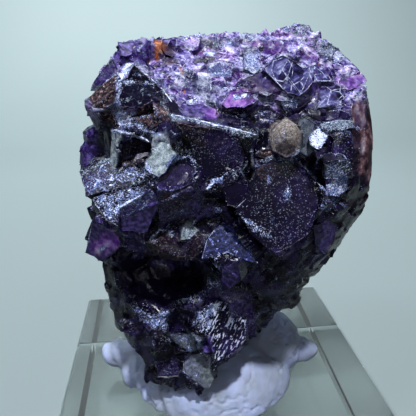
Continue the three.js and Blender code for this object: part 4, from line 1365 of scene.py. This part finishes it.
class FLUORITE_OT_small_crystals(bpy.types.Operator):
    """Grows small cubes and minute druse points on the stone"""

    bl_idname = "fluorite.small_crystals"
    bl_label = "Small Crystals"

    def execute(self, context):
        settings = context.scene.fluorite_crystals
        random = np.random.default_rng(21)
        points, normals, finish, beside = mass_data()
        across, depth, height = (points / MM).T
        coated = sum(finish[name] for name in ("rind", "grey", "brown", "black", "hoar"))
        clean = 1 - np.clip(coated + 1.5 * finish["frost"], 0, 1)
        front = (0.3 + smooth_step(2.0, -4.0, depth)) * (1 - smooth_step(0.1, 0.5, finish["whole"]))
        weights = clean * smooth_step(36.0, 42.0, height) * front
        weights *= smooth_step(17.0, 14.0, np.abs(across))
        picks = chosen(random, weights, settings.cube_count)
        span = settings.cube_largest - settings.cube_smallest
        span = span * (1 - smooth_step(0.0, 0.3, beside[picks, None]))
        sizes = settings.cube_smallest + span * random.random((len(picks), 1)) ** 3
        sizes = sizes * random.uniform(0.75, 1.15, (len(picks), 3))
        seats = points[picks] - normals[picks] * sizes[:, :1] * 0.42
        turns = random.uniform(-math.pi, math.pi, (len(picks), 3))
        carried = {name: values[picks] for name, values in finish.items()}
        cubes = copies_of(small_cube(), "small_cubes", seats, turns, sizes, carried)

        weights = smooth_step(0.3, 0.7, finish["fracture"]) * front
        picks = chosen(random, weights, settings.flake_count)
        count = len(picks)
        widths = settings.flake_smallest
        widths = widths + (settings.flake_largest - widths) * random.random((count, 1)) ** 2
        widths = widths * (1 - 0.5 * smooth_step(0.0, 0.3, beside[picks, None]))
        sizes = widths * np.stack(
            (np.ones(count), random.uniform(0.45, 0.9, count), random.uniform(0.14, 0.34, count)), 1
        )
        aims = 0.7 * normals[picks] + np.array((0.1, -0.35, 0.55))
        seats = points[picks] - normals[picks] * 0.5 * sizes[:, 2:]
        carried = {name: values[picks] for name, values in finish.items()}
        carried["facet"] = random.random(count)
        turns = upright_turns(random, aims, 0.2)
        flakes = copies_of(cleavage_flake(), "cleavage_flakes", seats, turns, sizes, carried)
        given(bpy.data.materials["violet_fluorite_crystal"], cubes, flakes)

        edges = edge_ridges(tree_of(bpy.data.objects["fluorite_mass"].data))
        # The ridges' pale colour is frost, and also a painted highlight on the edges.
        given(drusy_quartz("frosted_crystal_edge", ("#4a5070", "#98a0be", "#e2e7f4"), 0.55, 0.2), edges)

        druse = np.maximum(finish["frost"], 0.8 * finish["hoar"])
        grain_sets = (
            ("frost_grains", smooth_step(0.25, 0.9, druse), settings.frost_count,
             drusy_quartz("white_drusy_quartz", ("#2b3150", "#66719a", "#b8c4e2"), 0.3, 0.2)),
            ("brown_grains", smooth_step(0.3, 1.0, finish["brown"]), settings.brown_count,
             drusy_quartz("iron_stained_druse", ("#0e0a0f", "#2a1d22", "#6d5452"), 0.6, 0.2)),
        )
        for name, weights, count, material in grain_sets:
            picks = chosen(random, weights, count)
            sizes = settings.grain_size * random.uniform(0.5, 1.5, (len(picks), 1)) * np.ones((1, 3))
            turns = upright_turns(random, normals[picks])
            grains = copies_of(druse_point(), name, points[picks], turns, sizes, {})
            given(material, grains)
            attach(grains, "root")
        for thing in (flakes, edges, cubes):
            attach(thing, "root")
        return {"FINISHED"}


class FLUORITE_OT_putty(bpy.types.Operator):
    """Makes the putty from its solid, and kneads its surface"""

    bl_idname = "fluorite.putty"
    bl_label = "Mounting Putty"

    def execute(self, context):
        settings = context.scene.fluorite_putty
        putty = remeshed_copy("mounting_putty", "pressed_putty", settings.voxel)
        points = vertex_array(putty.data)
        x, _, z = (points / MM).T
        fold = bumps(points * (1.0, 1.0, 0.5), 3.4 * MM, 12.0)
        crease = bumps(points * (0.5, 0.5, 1.3), 3.6 * MM, 13.0)
        crease = np.abs(crease + 0.25 * bumps(points, 0.9 * MM, 15.0))
        dent = bumps(points, 1.3 * MM, 14.0)
        pore = smooth_step(0.55, 0.9, bumps(points, 0.8 * MM, 16.0))
        rough = bumps(points, 0.5 * MM, 17.0)
        drag = np.sin((x + 0.35 * z + 0.6 * fold) * 2 * math.pi / 2.1) * smooth_step(-7.0, -10.0, x)
        height = 0.26 * fold - 0.3 * smooth_step(0.06, 0.0, crease) + 0.08 * dent
        height += 0.2 * drag - 0.16 * pore + 0.035 * rough
        points += vertex_array(putty.data, "normal") * (height * MM)[:, None]
        move_vertices(putty.data, points)
        given(kneaded_putty(settings), putty)
        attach(putty, "root")
        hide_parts("mounting_putty")
        return {"FINISHED"}


class FLUORITE_OT_block(bpy.types.Operator):
    """Gives the display block its clear acrylic"""

    bl_idname = "fluorite.block"
    bl_label = "Display Block"

    def execute(self, context):
        given(cast_acrylic(context.scene.fluorite_block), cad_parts["acrylic_block"])
        return {"FINISHED"}


def backdrop(material):
    """A board that lies flat and curves up behind the object."""
    width, front, bend, radius, top = 1.6, -0.12, 0.28, 0.18, 0.9
    shape = bmesh.new()
    bmesh.ops.create_grid(shape, x_segments=1, y_segments=48, size=0.5)
    arc = radius * math.pi / 2
    length = (bend - front) + arc + top
    floor_gap = 0.5 * MM
    for vert in shape.verts:
        along = (vert.co.y + 0.5) * length
        run = along - (bend - front)
        turn = min(max(run / radius, 0.0), math.pi / 2)
        y = min(along + front, bend) + radius * math.sin(turn)
        z = radius * (1 - math.cos(turn)) + max(run - arc, 0.0) - floor_gap
        vert.co = (vert.co.x * width, y, z)
    board = finished(shape, "backdrop_board")
    board.data.shade_smooth()
    given(material, board)


def soft_light(name, place, aim, side, power, code):
    light = bpy.data.lights.new(name, "AREA")
    light.shape = "SQUARE"
    light.size = side
    light.energy = power
    light.color = colour(code)[:3]
    lamp = linked(name, light)
    lamp.location = place
    lamp.rotation_euler = (Vector(aim) - Vector(place)).to_track_quat("-Z", "Y").to_euler()


class FLUORITE_OT_stage(bpy.types.Operator):
    """Sets up the floor, the backdrop, the lights and the camera"""

    bl_idname = "fluorite.stage"
    bl_label = "Stage"

    def execute(self, context):
        scene = context.scene
        settings = scene.fluorite_stage
        backdrop(painted_board(settings))
        aim = (0.0, 0.0, 0.055)
        soft_light("key_softbox", (-0.01, -0.13, 0.36), aim, 0.016, settings.key_power, "#f4f8ff")
        soft_light("low_softbox", (0.10, -0.34, 0.16), aim, 0.05, settings.low_power, "#eef3ff")
        soft_light("fill_softbox", (-0.15, -0.13, 0.30), aim, 0.05, settings.fill_power, "#e6f0ff")
        wall_aim = (0.03, 0.46, 0.37)
        soft_light("wall_softbox", (-0.07, 0.13, 0.52), wall_aim, 0.3, settings.wall_power, "#eefaff")
        world = bpy.data.worlds.new("even_room")
        world.use_nodes = True
        sky = world.node_tree.nodes["Background"]
        sky.inputs["Color"].default_value = colour("#d8dbe2")
        sky.inputs["Strength"].default_value = settings.sky_strength
        scene.world = world
        camera = linked("camera", bpy.data.cameras.new("camera"))
        camera.data.sensor_width = SENSOR_WIDTH
        camera.data.lens = SENSOR_WIDTH * FOCAL_PIXELS / (2 * PHOTO_MIDDLE)
        camera.data.clip_start = MM
        camera.location = CAMERA_PLACE
        sight = photo_ray(PHOTO_MIDDLE, PHOTO_MIDDLE)
        camera.rotation_euler = sight.to_track_quat("-Z", "Y").to_euler()
        scene.camera = camera
        scene.view_settings.view_transform = "Standard"
        return {"FINISHED"}


STEPS = (
    FLUORITE_OT_stone,
    FLUORITE_OT_small_crystals,
    FLUORITE_OT_putty,
    FLUORITE_OT_block,
    FLUORITE_OT_stage,
)
SETTINGS = {
    "fluorite_stone": StoneSettings,
    "fluorite_crystals": CrystalSettings,
    "fluorite_putty": PuttySettings,
    "fluorite_block": BlockSettings,
    "fluorite_stage": StageSettings,
}


class FLUORITE_PT_panel(bpy.types.Panel):
    """Lists the pieces and their settings"""

    bl_idname = "FLUORITE_PT_panel"
    bl_label = "Fluorite Specimen"
    bl_space_type = "VIEW_3D"
    bl_region_type = "UI"
    bl_category = "Fluorite"

    def draw(self, context):
        for step in STEPS:
            self.layout.operator(step.bl_idname)
        for name, group in SETTINGS.items():
            box = self.layout.box()
            box.label(text=group.__doc__)
            for key in group.__annotations__:
                box.prop(getattr(context.scene, name), key)


def register():
    for group in (*SETTINGS.values(), *STEPS, FLUORITE_PT_panel):
        bpy.utils.register_class(group)
    for name, group in SETTINGS.items():
        setattr(bpy.types.Scene, name, bpy.props.PointerProperty(type=group))


def unregister():
    for name in SETTINGS:
        delattr(bpy.types.Scene, name)
    for group in (FLUORITE_PT_panel, *reversed(STEPS), *SETTINGS.values()):
        bpy.utils.unregister_class(group)


def main():
    register()
    bpy.ops.fluorite.stone()
    bpy.ops.fluorite.small_crystals()
    bpy.ops.fluorite.putty()
    bpy.ops.fluorite.block()
    bpy.ops.fluorite.stage()


if __name__ == "__main__":
    main()
